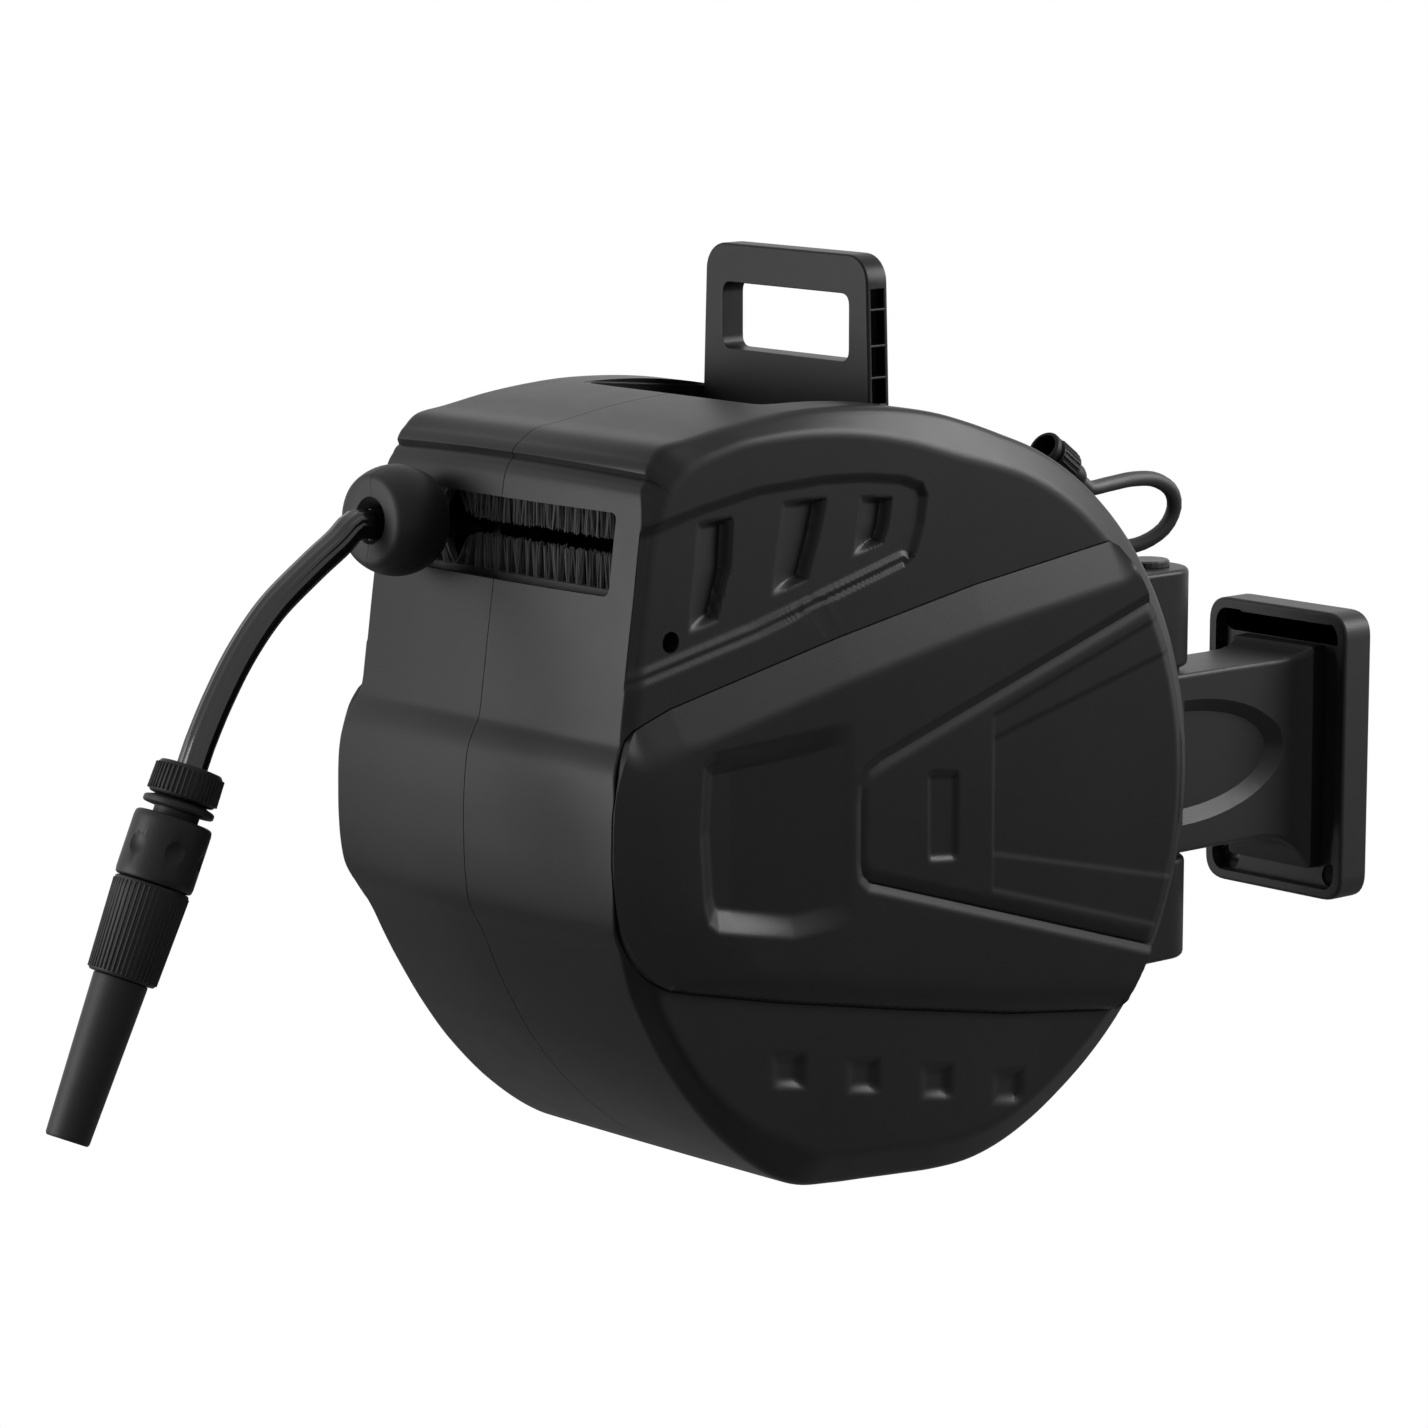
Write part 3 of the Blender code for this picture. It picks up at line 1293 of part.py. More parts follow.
def make_guide_and_hose():
    carriage = box(
        "guide_carriage",
        (GUIDE_X - GUIDE_HALF_WIDTH, GUIDE_FRONT, GUIDE_BOTTOM),
        (GUIDE_X + GUIDE_HALF_WIDTH, GUIDE_REAR, GUIDE_TOP),
        "mechanism",
    )
    low = GUIDE_X - GUIDE_HALF_WIDTH - 0.01
    high = GUIDE_X + GUIDE_HALF_WIDTH + 0.01
    eye = rod("guide_eye", "Z", -0.05, 0.05, HOSE_RADIUS + RUNNING_GAP, sides=PLAIN)
    eye.matrix_world = hose_frame(GUIDE_FRONT / 2 + GUIDE_REAR / 2)
    cut(
        carriage,
        rod("screw_passage", "X", low, high, SCREW_SHAFT_RADIUS + RUNNING_GAP, centre=SCREW_AXIS),
        rod("rod_passage", "X", low, high, GUIDE_ROD_RADIUS + RUNNING_GAP, centre=(GUIDE_ROD_Y, GUIDE_ROD_Z)),
        eye,
    )
    start = lead_tangent()
    winding = arc((DRUM_Y, DRUM_Z), LEAD_RADIUS, LEAD_ARC_END, start, 5)
    outwards = Vector((-math.cos(hose_slope()), math.sin(hose_slope())))
    mouth = Vector((STOP_Y, along_hose(STOP_Y))) + outwards * STOP_HALF_LENGTH
    points = [(GUIDE_X, y, z) for y, z in winding]
    points.append((GUIDE_X, EXIT_Y, EXIT_Z))
    points.append((GUIDE_X, *mouth))
    lead = tube("hose_lead", points, HOSE_RADIUS, "hose", 3)

    halves = []
    for side, name in ((-1, "hose_stop_left"), (1, "hose_stop_right")):
        half = turned(name, stop_profile(), hose_frame(STOP_Y), "connector", PLAIN, closed=True)
        x = GUIDE_X + side * GAP / 2
        far = GUIDE_X - side * 0.05
        low_x, high_x = sorted((x, far))
        low = (low_x, STOP_Y - 0.06, EXIT_Z - 0.06)
        high = (high_x, STOP_Y + 0.06, EXIT_Z + 0.06)
        cut(half, box(f"{name}_cutter", low, high))
        halves.append(half)

    first = Vector((GUIDE_X, *(mouth + outwards * GAP)))
    tilt = math.radians(NOZZLE_TILT)
    down = Vector((0, -math.sin(tilt), -math.cos(tilt)))
    nut_start = Vector((GUIDE_X, *NOZZLE_START))
    route = [first, first + Vector((0, *(outwards * 0.009)))]
    route += [Vector((GUIDE_X, y, z)) for y, z in HOSE_ROUTE]
    route += [nut_start - down * (0.012 + GAP), nut_start - down * GAP]
    tail = tube("hose_tail", smooth_route(route, 0.028), HOSE_RADIUS, "hose", 3)
    nozzle = make_nozzle(nut_start, tilt)
    hang("guide_axis", (GUIDE_X, *SCREW_AXIS), carriage, lead, *halves, tail, *nozzle)


def stop_profile():
    """A ball flattened in front and behind, with the hose's bore through it."""
    bore = HOSE_RADIUS + GAP
    limit = math.degrees(math.asin(STOP_HALF_LENGTH / STOP_RADIUS))
    outer = arc((0, 0), STOP_RADIUS, limit, -limit, 8)
    return outer + [(bore, -STOP_HALF_LENGTH), (bore, STOP_HALF_LENGTH)]


def make_nozzle(start, tilt):
    """The straight nozzle and its quick connector, turned about the line the hose ends on."""
    frame = Matrix.Translation(start) @ Matrix.Rotation(-tilt, 4, "X") @ Matrix.Rotation(math.pi, 4, "X")
    sleeve_end = SLEEVE_START + SLEEVE_LENGTH
    collar_end = sleeve_end + COLLAR_LENGTH
    tip = collar_end + NOZZLE_LENGTH
    stem_start = NUT_LENGTH / 3
    nut = turned(
        "connector_nut",
        (
            (0, stem_start),
            (STEM_RADIUS + GAP, stem_start),
            (STEM_RADIUS + GAP, NUT_LENGTH),
            (NUT_RADIUS - 0.002, NUT_LENGTH),
            (NUT_RADIUS, NUT_LENGTH - 0.002),
            (NUT_RADIUS - 0.001, 0.002),
            (NUT_RADIUS - 0.003, 0),
            (0, 0),
        ),
        frame,
        "connector",
    )
    body = turned(
        "connector_body",
        (
            (0, sleeve_end - GAP),
            (NECK_RADIUS, sleeve_end - GAP),
            (NECK_RADIUS, SLEEVE_START - 0.0042),
            (RING_RADIUS, SLEEVE_START - 0.0047),
            (RING_RADIUS, NUT_LENGTH + 0.002),
            (RING_RADIUS - 0.003, NUT_LENGTH + GAP),
            (STEM_RADIUS, NUT_LENGTH + GAP),
            (STEM_RADIUS, stem_start + GAP),
            (0, stem_start + GAP),
        ),
        frame,
        "connector",
    )
    sleeve = ring(
        "coupler_sleeve", NECK_RADIUS + GAP, SLEEVE_RADIUS, SLEEVE_START, sleeve_end - GAP, frame, "connector"
    )
    collar = turned(
        "nozzle_collar",
        (
            (0, collar_end),
            (COLLAR_END_RADIUS - 0.002, collar_end),
            (COLLAR_END_RADIUS, collar_end - 0.002),
            (COLLAR_RADIUS, sleeve_end + 0.006),
            (COLLAR_RADIUS, sleeve_end + GAP),
            (0, sleeve_end + GAP),
        ),
        frame,
        "connector",
    )
    tube_piece = turned(
        "nozzle_tube",
        (
            (0, collar_end + 0.010),
            (NOZZLE_BORE, collar_end + 0.010),
            (NOZZLE_BORE, tip),
            (NOZZLE_TIP_RADIUS - 0.001, tip),
            (NOZZLE_TIP_RADIUS, tip - 0.001),
            (NOZZLE_RADIUS, collar_end + GAP),
            (0, collar_end + GAP),
        ),
        frame,
        "connector",
    )
    return [nut, body, sleeve, collar, tube_piece]


# Feed hose
def coil_centre():
    """The coil hangs on the inlet, on the insides of its two turns."""
    top_radius = COIL_INNER_RADIUS + COIL_STEP * (COIL_TURNS / 2 - 0.5)
    return (DRUM_Y, DRUM_Z + INLET_RADIUS + GAP + FEED_RADIUS - top_radius)


def coil_points():
    """The feed hose's turns: inwards in the first layer, a climb, and outwards again in the second."""
    centre = coil_centre()
    count = COIL_TURNS * COIL_POINTS
    outer = COIL_INNER_RADIUS + COIL_STEP * COIL_TURNS / 2
    points = []
    for i in range(count + 1):
        turn = i / COIL_POINTS
        radius = outer - COIL_STEP * (turn if turn < COIL_TURNS / 2 else COIL_TURNS - turn)
        climb = min(max((turn - COIL_TURNS / 2 + 0.25) / 0.5, 0.0), 1.0)
        x = COIL_FIRST_X - COIL_LAYER * climb
        y, z = polar(radius, -90.0 + 360.0 * turn, centre)
        points.append(Vector((x, y, z)))
    return points


def least_gap(points, radius):
    """Least clear space between turns that aren't next to each other."""
    least = 1.0
    skip = COIL_POINTS // 3
    for i, first in enumerate(points):
        for second in points[i + skip :]:
            least = min(least, (first - second).length - 2 * radius)
    return least


def make_feed():
    at_drum = Matrix.Translation((0, DRUM_Y, DRUM_Z)) @ ALONG_X
    inlet = turned(
        "inlet_fitting",
        (
            (0, -CASING_HALF_WIDTH - GAP),
            (INLET_RADIUS, -CASING_HALF_WIDTH - GAP),
            (INLET_RADIUS, INLET_FACE_X + 0.002),
            (INLET_RADIUS - 0.002, INLET_FACE_X),
            (0, INLET_FACE_X),
        ),
        at_drum,
        "connector",
        FINE,
    )
    spigot_end = DRUM_Y - INLET_RADIUS - SPIGOT_LENGTH
    spigot = rod("inlet_spigot", "Y", spigot_end, DRUM_Y, SPIGOT_RADIUS, None, COARSE, (SPIGOT_X, DRUM_Z))
    join(inlet, spigot)
    coil = coil_points()
    print(f"feed coil: least gap to itself {1000 * least_gap(coil, FEED_RADIUS):.2f} mm")
    tube("feed_coil", coil, FEED_RADIUS, "hose", 1)
    first = Vector((SPIGOT_X, spigot_end - GAP, DRUM_Z))
    heading = (coil[1] - coil[0]).normalized()
    route = [first, first + Vector((0, -FEED_RADIUS * 3, 0))]
    route += [Vector(p) for p in FEED_IN_ROUTE]
    route += [coil[0] - heading * (0.012 + GAP), coil[0] - heading * GAP]
    tube("feed_hose_inlet", smooth_route(route, 0.019), FEED_RADIUS, "hose", 2)
    heading = (coil[-1] - coil[-2]).normalized()
    tap_direction = Vector(TAP_DIRECTION).normalized()
    tap_end = Vector(TAP_END)
    route = [coil[-1] + heading * GAP, coil[-1] + heading * 0.012]
    route += [Vector(p) for p in FEED_OUT_ROUTE]
    route += [tap_end - tap_direction * (0.010 + GAP), tap_end - tap_direction * GAP]
    tube("feed_hose_tap", smooth_route(route, 0.020), FEED_RADIUS, "hose", 2)
    frame = Matrix.Translation(tap_end) @ tap_direction.to_track_quat("Z", "Y").to_matrix().to_4x4()
    tail_end = TAP_LENGTH * 0.24
    turned(
        "tap_tail",
        ((0, tail_end), (TAP_TAIL_RADIUS, tail_end), (TAP_TAIL_RADIUS - 0.001, 0), (0, 0)),
        frame,
        "connector",
        COARSE,
    )
    turned(
        "tap_connector",
        (
            (0, tail_end + 0.008),
            (TAP_RADIUS - 0.003, tail_end + 0.008),
            (TAP_RADIUS - 0.003, TAP_LENGTH),
            (TAP_RADIUS, TAP_LENGTH),
            (TAP_RADIUS, tail_end + GAP),
            (0, tail_end + GAP),
        ),
        frame,
        "connector",
        COARSE,
    )


def main():
    make_wall_plate()
    make_bracket_arm()
    make_pivot()
    cavity = casing_cavity()
    tools = shared_cutters()
    make_casing(1, cavity, tools)
    make_casing(-1, cavity, tools)
    make_casing_screws()
    for side in (1, -1):
        make_band(side)
        make_cover(side)
        make_brush(side)
    make_handle()
    make_drum()
    make_layering_gear_train()
    make_spring_and_pawl()
    make_guide_and_hose()
    make_feed()


main()
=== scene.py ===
"""The look of a retractable hose reel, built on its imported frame. Lengths are in metres.

The wall is the plane Y = 0, the hose leaves towards -Y and the drum turns about X.
"""

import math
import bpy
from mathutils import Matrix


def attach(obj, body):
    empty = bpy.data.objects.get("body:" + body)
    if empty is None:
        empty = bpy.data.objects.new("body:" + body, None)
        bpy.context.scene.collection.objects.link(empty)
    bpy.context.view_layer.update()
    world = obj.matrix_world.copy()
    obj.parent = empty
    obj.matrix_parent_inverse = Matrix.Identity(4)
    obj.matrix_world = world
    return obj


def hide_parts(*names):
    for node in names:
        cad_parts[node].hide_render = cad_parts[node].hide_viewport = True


bl_info = {
    "name": "Hose Reel",
    "version": (1, 0, 0),
    "blender": (4, 5, 0),
    "location": "3D View > Sidebar > Hose Reel",
    "description": "Dresses the wall-mounted hose reel for its photograph",
    "category": "Add Mesh",
}

import bmesh
import bpy
import numpy as np
from mathutils import Matrix, Vector

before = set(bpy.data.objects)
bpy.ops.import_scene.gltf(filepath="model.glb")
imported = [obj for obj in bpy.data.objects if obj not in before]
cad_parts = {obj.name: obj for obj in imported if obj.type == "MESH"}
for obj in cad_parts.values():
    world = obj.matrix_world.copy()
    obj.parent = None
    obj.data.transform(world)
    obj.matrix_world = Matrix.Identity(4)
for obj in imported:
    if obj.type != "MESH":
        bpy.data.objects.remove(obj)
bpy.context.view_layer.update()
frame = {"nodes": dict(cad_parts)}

# Shared places; DRUM is (Y, Z)
DRUM = (-0.427, 0.026)
PIVOT_Y = -0.140
PIVOT_HOLE = 0.0083
GUIDE_X = -0.061
HOSE_RADIUS = 0.0085
FEED_RADIUS = 0.0045
GAP = 0.0003
TINY = 1e-12

# Casing outlines as (Y, Z): the round housing, and the lines over its top and down its front
CASING_CENTRE = (-0.432, 0.026)
CASING_RADIUS = 0.217
RIM_RADIUS = 0.1990
SHOULDER_TOP = (
    (-0.6195, 0.2470), (-0.6000, 0.2500), (-0.5700, 0.2548), (-0.5400, 0.2578), (-0.5120, 0.2590),
    (-0.4800, 0.2579), (-0.4500, 0.2548), (-0.4200, 0.2494), (-0.3950, 0.2425),
)
SHOULDER_FRONT = (
    (-0.5750, -0.1370), (-0.5995, -0.1120), (-0.6190, -0.0870), (-0.6335, -0.0640), (-0.6440, -0.0450),
    (-0.6510, -0.0290), (-0.6560, -0.0185), (-0.6618, -0.0090), (-0.6649, 0.0005), (-0.6667, 0.0220),
    (-0.6668, 0.0450), (-0.6660, 0.0610), (-0.6638, 0.0770), (-0.6593, 0.0870), (-0.6556, 0.0945),
    (-0.6525, 0.1140), (-0.6480, 0.1460), (-0.6446, 0.1690), (-0.6412, 0.1950), (-0.6375, 0.2190),
    (-0.6354, 0.2256), (-0.6334, 0.2288), (-0.6312, 0.2303), (-0.6302, 0.2312), (-0.6318, 0.2322),
    (-0.6322, 0.2340), (-0.6308, 0.2370), (-0.6282, 0.2400),
)
RIM_TOP = (
    (-0.6140, 0.2320), (-0.6030, 0.2378), (-0.5890, 0.2422), (-0.5670, 0.2464), (-0.5310, 0.2476),
    (-0.5000, 0.2460), (-0.4720, 0.2422), (-0.4420, 0.2355), (-0.4120, 0.2265),
)
RIM_FRONT = (
    (-0.5400, -0.1395), (-0.5640, -0.1275), (-0.5860, -0.1110), (-0.6050, -0.0920), (-0.6250, -0.0620),
    (-0.6400, -0.0280), (-0.6520, 0.0000), (-0.6580, 0.0350), (-0.6560, 0.0650), (-0.6480, 0.0930),
    (-0.6448, 0.1140), (-0.6400, 0.1460), (-0.6366, 0.1690), (-0.6325, 0.1950), (-0.6260, 0.2190),
)
OUTLINE_CENTRE = (-0.430, 0.040)
OUTLINE_STEPS = 640
FOOT_Z = -0.1786
FOOT_FALL = 0.0007

# Casing half widths: side face, round housing's shoulder, front's corners and the belt's ends
FACE_X = 0.1130
SHOULDER_X = 0.104
FRONT_X = 0.1097
BELT_X = 0.1172
FRONT_HEIGHTS = (-0.110, -0.030, 0.000, 0.203, 0.210, 0.217, 0.222, 0.226, 0.245)
FRONT_WIDTHS = (0.102, 0.106, FRONT_X, FRONT_X, 0.1092, 0.1078, 0.1063, 0.1046, SHOULDER_X)
CROWN = 0.0050
TOP_CROWN = 0.0003
TOP_CORNER = 0.0040
FRONT_CORNER = 0.0012
RIM_CORNER = 0.0032
RIM_INSET = 0.0035
SEAM_HALF = 0.00025
HOOP_WALL = 0.003
FACE_WALL = 0.0055
REAR_ANGLES = (-118.0, -105.0, -75.0, -55.0, -30.0)
REAR_CUT = (0.0, 0.0040, 0.0070, 0.0060, 0.0)

# Side details as (Y, Z)
LOUVRE_LOW = ((-0.680, 0.1150), (-0.6400, 0.1240), (-0.5594, 0.1406), (-0.4527, 0.1685))
LOUVRE = (
    *LOUVRE_LOW, (-0.4425, 0.1755), (-0.4370, 0.1900), (-0.4345, 0.2060), (-0.4385, 0.2135),
    (-0.4530, 0.2185), (-0.4800, 0.2220), (-0.5095, 0.2235), (-0.5595, 0.2215), (-0.6000, 0.2150),
    (-0.6212, 0.2105), (-0.6800, 0.1960),
)
SCOOPS = (
    ((-0.6018, 0.2061), (-0.5758, 0.2067), (-0.5774, 0.1793), (-0.5864, 0.1525), (-0.6091, 0.1463)),
    ((-0.5411, 0.2122), (-0.5076, 0.2111), (-0.5134, 0.1905), (-0.5217, 0.1676), (-0.5501, 0.1599)),
    ((-0.4838, 0.2102), (-0.4589, 0.2068), (-0.4613, 0.1919), (-0.4656, 0.1822), (-0.4904, 0.1758)),
)
DIMPLES = ((-0.536, -0.101), (-0.480, -0.113), (-0.4234, -0.1256), (-0.367, -0.138))
LOUVRE_UPPER = ((-0.700, 0.0500), (-0.4300, 0.1000), (-0.4300, 0.1600), *LOUVRE[len(LOUVRE_LOW):])
LOUVRE_DEPTH = 0.0028
LOUVRE_SINK = 0.0058
LEDGE_REACH = (0.0, 0.0020, 0.0056, 0.0080)
LEDGE_DEPTH = (0.0, 0.0016, 0.0011, LOUVRE_DEPTH)
SCOOP_DEPTH = 0.0065
DIMPLE_DEPTH = 0.0032
BAND_TOP = (
    (-0.6480, 0.1000), (-0.6416, 0.1027), (-0.6229, 0.1089), (-0.5786, 0.1181), (-0.5014, 0.1342),
    (-0.3990, 0.1526), (-0.2917, 0.1670),
)
BAND_REAR_TOP = ((-0.2860, 0.1642), (-0.2760, 0.1520), (-0.2672, 0.1380), (-0.2640, 0.1318))
BAND_REAR_LOW = ((-0.2560, -0.0735), (-0.2640, -0.0870), (-0.2740, -0.0985))
BAND_BOTTOM = (
    (-0.2836, -0.1060), (-0.3691, -0.0948), (-0.4553, -0.0789), (-0.5459, -0.0610), (-0.6100, -0.0465),
)
BAND_NOSE = (
    (-0.6235, -0.0430), (-0.6385, -0.0345), (-0.6515, -0.0195), (-0.6611, -0.0030), (-0.6656, 0.0180),
    (-0.6662, 0.0420), (-0.6649, 0.0640), (-0.6596, 0.0820), (-0.6530, 0.0950),
)
COVER_FRONT = (
    (-0.2620, 0.1305), (-0.4750, 0.0635), (-0.4835, 0.0590), (-0.4880, 0.0515), (-0.4890, 0.0420),
    (-0.4890, 0.0080), (-0.4875, 0.0015), (-0.4820, -0.0035), (-0.4740, -0.0058), (-0.2560, -0.0720),
)
SEAT_RADIUS = 0.1990
COVER_RADIUS = 0.1985
POCKET = (
    (-0.6052, 0.0778), (-0.6080, 0.0398), (-0.6052, 0.0031), (-0.6020, -0.0090), (-0.5940, -0.0150),
    (-0.5400, -0.0260), (-0.4900, -0.0240), (-0.4900, 0.0900), (-0.5400, 0.0860), (-0.5980, 0.0830),
)
GROOVE = ((-0.4365, 0.0531), (-0.4122, 0.0501), (-0.4124, -0.0005), (-0.4360, 0.0017))
LABEL_OUTER = (
    (-0.3864, 0.0790), (-0.3860, -0.0216), (-0.2460, -0.0630), (-0.2300, -0.0200), (-0.2290, 0.0700),
    (-0.2450, 0.1230),
)
LABEL_INNER = (
    (-0.3860, 0.0660), (-0.3860, -0.0013), (-0.2300, -0.0370), (-0.2200, 0.0300), (-0.2290, 0.1030),
    (-0.2494, 0.0988),
)
SCREW_PLACES = ((-0.620, 0.144), (-0.612, -0.012), (-0.240, 0.030))
SCREW_HOLE = 0.0058

# X of the bands' and covers' faces, edges and backs
BAND_X = 0.1205
BAND_EDGE_X = 0.1134
BAND_REAR_X = 0.1150
NOSE_X = 0.1174
NOSE_RISE = 0.0030
BAND_BACK_X = 0.1105
NOSE_SINK = 0.0080
SEAT_X = 0.1172
SEAT_RISE = 0.0036
POCKET_DEPTH = 0.0074
COVER_X = 0.1163
COVER_EDGE_X = 0.1146
COVER_REAR_X = 0.1138
COVER_BACK_X = 0.1112
COVER_GAP = 0.0012
LABEL_DEPTH = 0.0005
GROOVE_DEPTH = 0.0018
INLET_HOLE = 0.0205

# Outlet window and brushes
WINDOW_HALF_X = 0.0905
WINDOW_Z = (0.1685, 0.2125)
BRUSH_Y = -0.6240
BRUSH_Z = 0.1910
STRAND_LENGTH = 0.0205
STRAND_RADIUS = 0.00058
PARTING = 0.012

# Handle, its recess and the ears
RECESS_X = 0.0730
RECESS_Y = (-0.5220, -0.4180)
RECESS_FLOOR = 0.2340
TUB_RIM = ((0.0028, 0.0002), (0.0004, 0.0002), (0.0, 0.0012))
HANDLE_AXIS = (-0.430, 0.246)
HANDLE_TOP = 0.334
HANDLE_HALF_TOP = 0.0665
HANDLE_HALF_BASE = 0.0690
HANDLE_CORNER = 0.0155
CHANNELS = ((0.2520, 0.2655), (0.2672, 0.2830), (0.2847, 0.3030), (0.3047, 0.3150))
EAR_RADIUS = 0.0245
EAR_ROOT_Y = -0.245
EARS = (("ear_upper", 0.0656, 0.1256), ("ear_lower", -0.1136, -0.0516))

# Wall bracket; each arm section is (Y, half width, low Z, high Z, corner radius)
PLATE_HALF = (0.057, 0.090)
PLATE_DEPTH = 0.024
TRAY_WALL = 0.0065
TRAY_FLOOR_Y = -0.016
PLATE_HOLES = (0.042, 0.076)
ARM_HALF = 0.0260
ARM_Z = (-0.0480, 0.0620)
ARM_SECTIONS = (
    (-0.1400, 0.0260, -0.0480, 0.0620, 0.0030),
    (-0.0900, 0.0260, -0.0480, 0.0620, 0.0030),
    (-0.0620, 0.0262, -0.0485, 0.0620, 0.0035),
    (-0.0480, 0.0270, -0.0510, 0.0622, 0.0040),
    (-0.0380, 0.0288, -0.0560, 0.0632, 0.0040),
    (-0.0310, 0.0312, -0.0625, 0.0650, 0.0040),
    (-0.0275, 0.0335, -0.0690, 0.0672, 0.0040),
    (-0.0265, 0.0340, -0.0712, 0.0678, 0.0040),
    (-0.0163, 0.0340, -0.0720, 0.0680, 0.0040),
)
DISH_FLAT = (-0.1340, 0.0075)
DISH_REACH = 0.0880
DISH_HALF = 0.0385

# Hose line as (Y, Z): where the hose leaves the winding, the casing, the stop and the connector
WOUND_RADIUS = 0.140
LEAD_RADIUS = WOUND_RADIUS + HOSE_RADIUS + GAP
EXIT = (-0.640, 0.1915)
STOP_Y = -0.668
STOP_HALF = 0.019
STOP_BALL = 0.0305
STOP_LIFT = 0.0022
STOP_BORE = 0.0088
NOZZLE_TILT = math.radians(24.24)
NOZZLE_START = Vector((GUIDE_X, -0.8068, 0.0765))
HOSE_ROUTE = (
    (-0.7075, 0.1872), (-0.7262, 0.1752), (-0.7526, 0.1561), (-0.7729, 0.1344), (-0.7893, 0.1103),
)

# Winding, coil and inlet
WINDING_TURNS = 8
WINDING_PITCH = 0.0171
WINDING_LAYERS = (0.1140, 0.1310)
WINDING_X = 0.0622
INLET_X = -0.1442
INLET_RADIUS = 0.020
SPIGOT_LENGTH = 0.014
TAIL_LENGTH = 0.0096
TAP_END = Vector((0.0545, -0.2575, 0.1936))
TAP_DIRECTION = Vector((0.04, -0.818, 0.576)).normalized()
FEED_IN_ROUTE = (
    (-0.1442, -0.4900, 0.0255), (-0.1436, -0.5100, 0.0205), (-0.1418, -0.5235, 0.0080),
    (-0.1390, -0.5280, -0.0110), (-0.1350, -0.5235, -0.0300), (-0.1300, -0.5100, -0.0445),
    (-0.1262, -0.4900, -0.0525), (-0.1254, -0.4680, -0.0555),
)
FEED_OUT_ROUTE = (
    (-0.1345, -0.3750, -0.0480), (-0.1340, -0.3480, -0.0250), (-0.1335, -0.3270, 0.0080),
    (-0.1325, -0.3060, 0.0420), (-0.1300, -0.2800, 0.0700), (-0.1255, -0.2485, 0.0910),
    (-0.1220, -0.2375, 0.1043), (-0.1110, -0.2305, 0.1213), (-0.0940, -0.2298, 0.1395),
    (-0.0700, -0.2334, 0.1540), (-0.0400, -0.2330, 0.1590), (-0.0100, -0.2260, 0.1540),
    (0.0120, -0.2050, 0.1465), (0.0240, -0.1810, 0.1440), (0.0330, -0.1650, 0.1520),
    (0.0380, -0.1590, 0.1650), (0.0415, -0.1650, 0.1775), (0.0440, -0.1820, 0.1860),
    (0.0470, -0.2040, 0.1885), (0.0505, -0.2270, 0.1880),
)

# Materials of the frame's own nodes, by node
STEEL_NODES = {
    "drum_axle", "main_spring", "pawl_pin", "pawl_spring", "idler_pin", "layering_screw", "guide_rod",
}
COATED_NODES = {
    "pivot_pin", "pivot_washer_upper", "pivot_washer_lower", "handle_pin",
    "casing_screw_1", "casing_screw_2", "casing_screw_3",
}

# Stage and materials
WHITE = (1.0, 1.0, 1.0, 1.0)
FLOOR_GREY = (0.4, 0.4, 0.4, 1.0)
FLOOR_Z = -0.75
CAMERA_PLACE = (2.134, -2.399, 0.581)
CAMERA_TURN = (80.0, 0.0, 48.2)
CAMERA_LENS = 5190 / 1428 * 36
PLASTIC_SHINE = 0.16
MATERIALS = {}


# Small sums
def ramp(value, start, end):
    """0 before start and 1 after end, straight in between."""
    return np.clip((value - start) / (end - start), 0.0, 1.0)


def rise(value, start, end):
    """0 before start and 1 after end, smooth in between."""
    t = ramp(value, start, end)
    return t * t * (3 - 2 * t)


def unit(vectors):
    """Each row at length 1."""
    return vectors / np.maximum(np.linalg.norm(vectors, axis=1, keepdims=True), TINY)


def signed_area(outline):
    """Twice the outline's area, positive when it runs anticlockwise."""
    return np.sum(outline[:, 0] * np.roll(outline[:, 1], -1) - np.roll(outline[:, 0], -1) * outline[:, 1])


def bend(start, corner, end, t):
    """A point at t on the curve from start to end that a corner pulls on."""
    return (1 - t) ** 2 * start + 2 * t * (1 - t) * corner + t**2 * end


def catmull_rom(a, b, c, d, t):
    """A point at t between b and c on the smooth curve through all four."""
    return (2 * b + (c - a) * t + (2 * a - 5 * b + 4 * c - d) * t**2 + (3 * b - a - 3 * c + d) * t**3) / 2


def soft_least(a, b, blend):
    """The lesser of two values, rounded where they cross."""
    h = np.clip(0.5 + 0.5 * (b - a) / blend, 0.0, 1.0)
    return b + (a - b) * h - blend * h * (1 - h)


def smooth_closed(points, steps):
    """A closed curve through the points."""
    p = np.asarray(points, float)
    t = np.linspace(0, 1, steps, endpoint=False)[None, :, None]
    curve = catmull_rom(*(np.roll(p, shift, 0)[:, None, :] for shift in (1, 0, -1, -2)), t)
    return curve.reshape(-1, p.shape[1])


def smooth_open(points, steps):
    """An open curve through the points, ends included."""
    p = np.asarray(points, float)
    p = np.vstack((2 * p[0] - p[1], p, 2 * p[-1] - p[-2]))
    t = np.linspace(0, 1, steps, endpoint=False)[None, :, None]
    curve = catmull_rom(*(p[i : len(p) - 3 + i, None, :] for i in range(4)), t)
    return np.vstack((curve.reshape(-1, p.shape[1]), p[-2]))


def nearest_on(points, polygon, closed=True):
    """(distance, nearest point) from each point to a polygon's or a line's edges."""
    polygon = np.asarray(polygon, float)
    count = len(polygon) if closed else len(polygon) - 1
    best = np.full(len(points), np.inf)
    place = np.zeros_like(points)
    for i in range(count):
        a = polygon[i]
        ab = polygon[(i + 1) % len(polygon)] - a
        t = np.clip(((points - a) @ ab) / max(ab @ ab, TINY**2), 0.0, 1.0)
        foot = a + t[:, None] * ab
        distance = np.linalg.norm(points - foot, axis=1)
        near = distance < best
        best[near] = distance[near]
        place[near] = foot[near]
    return best, place


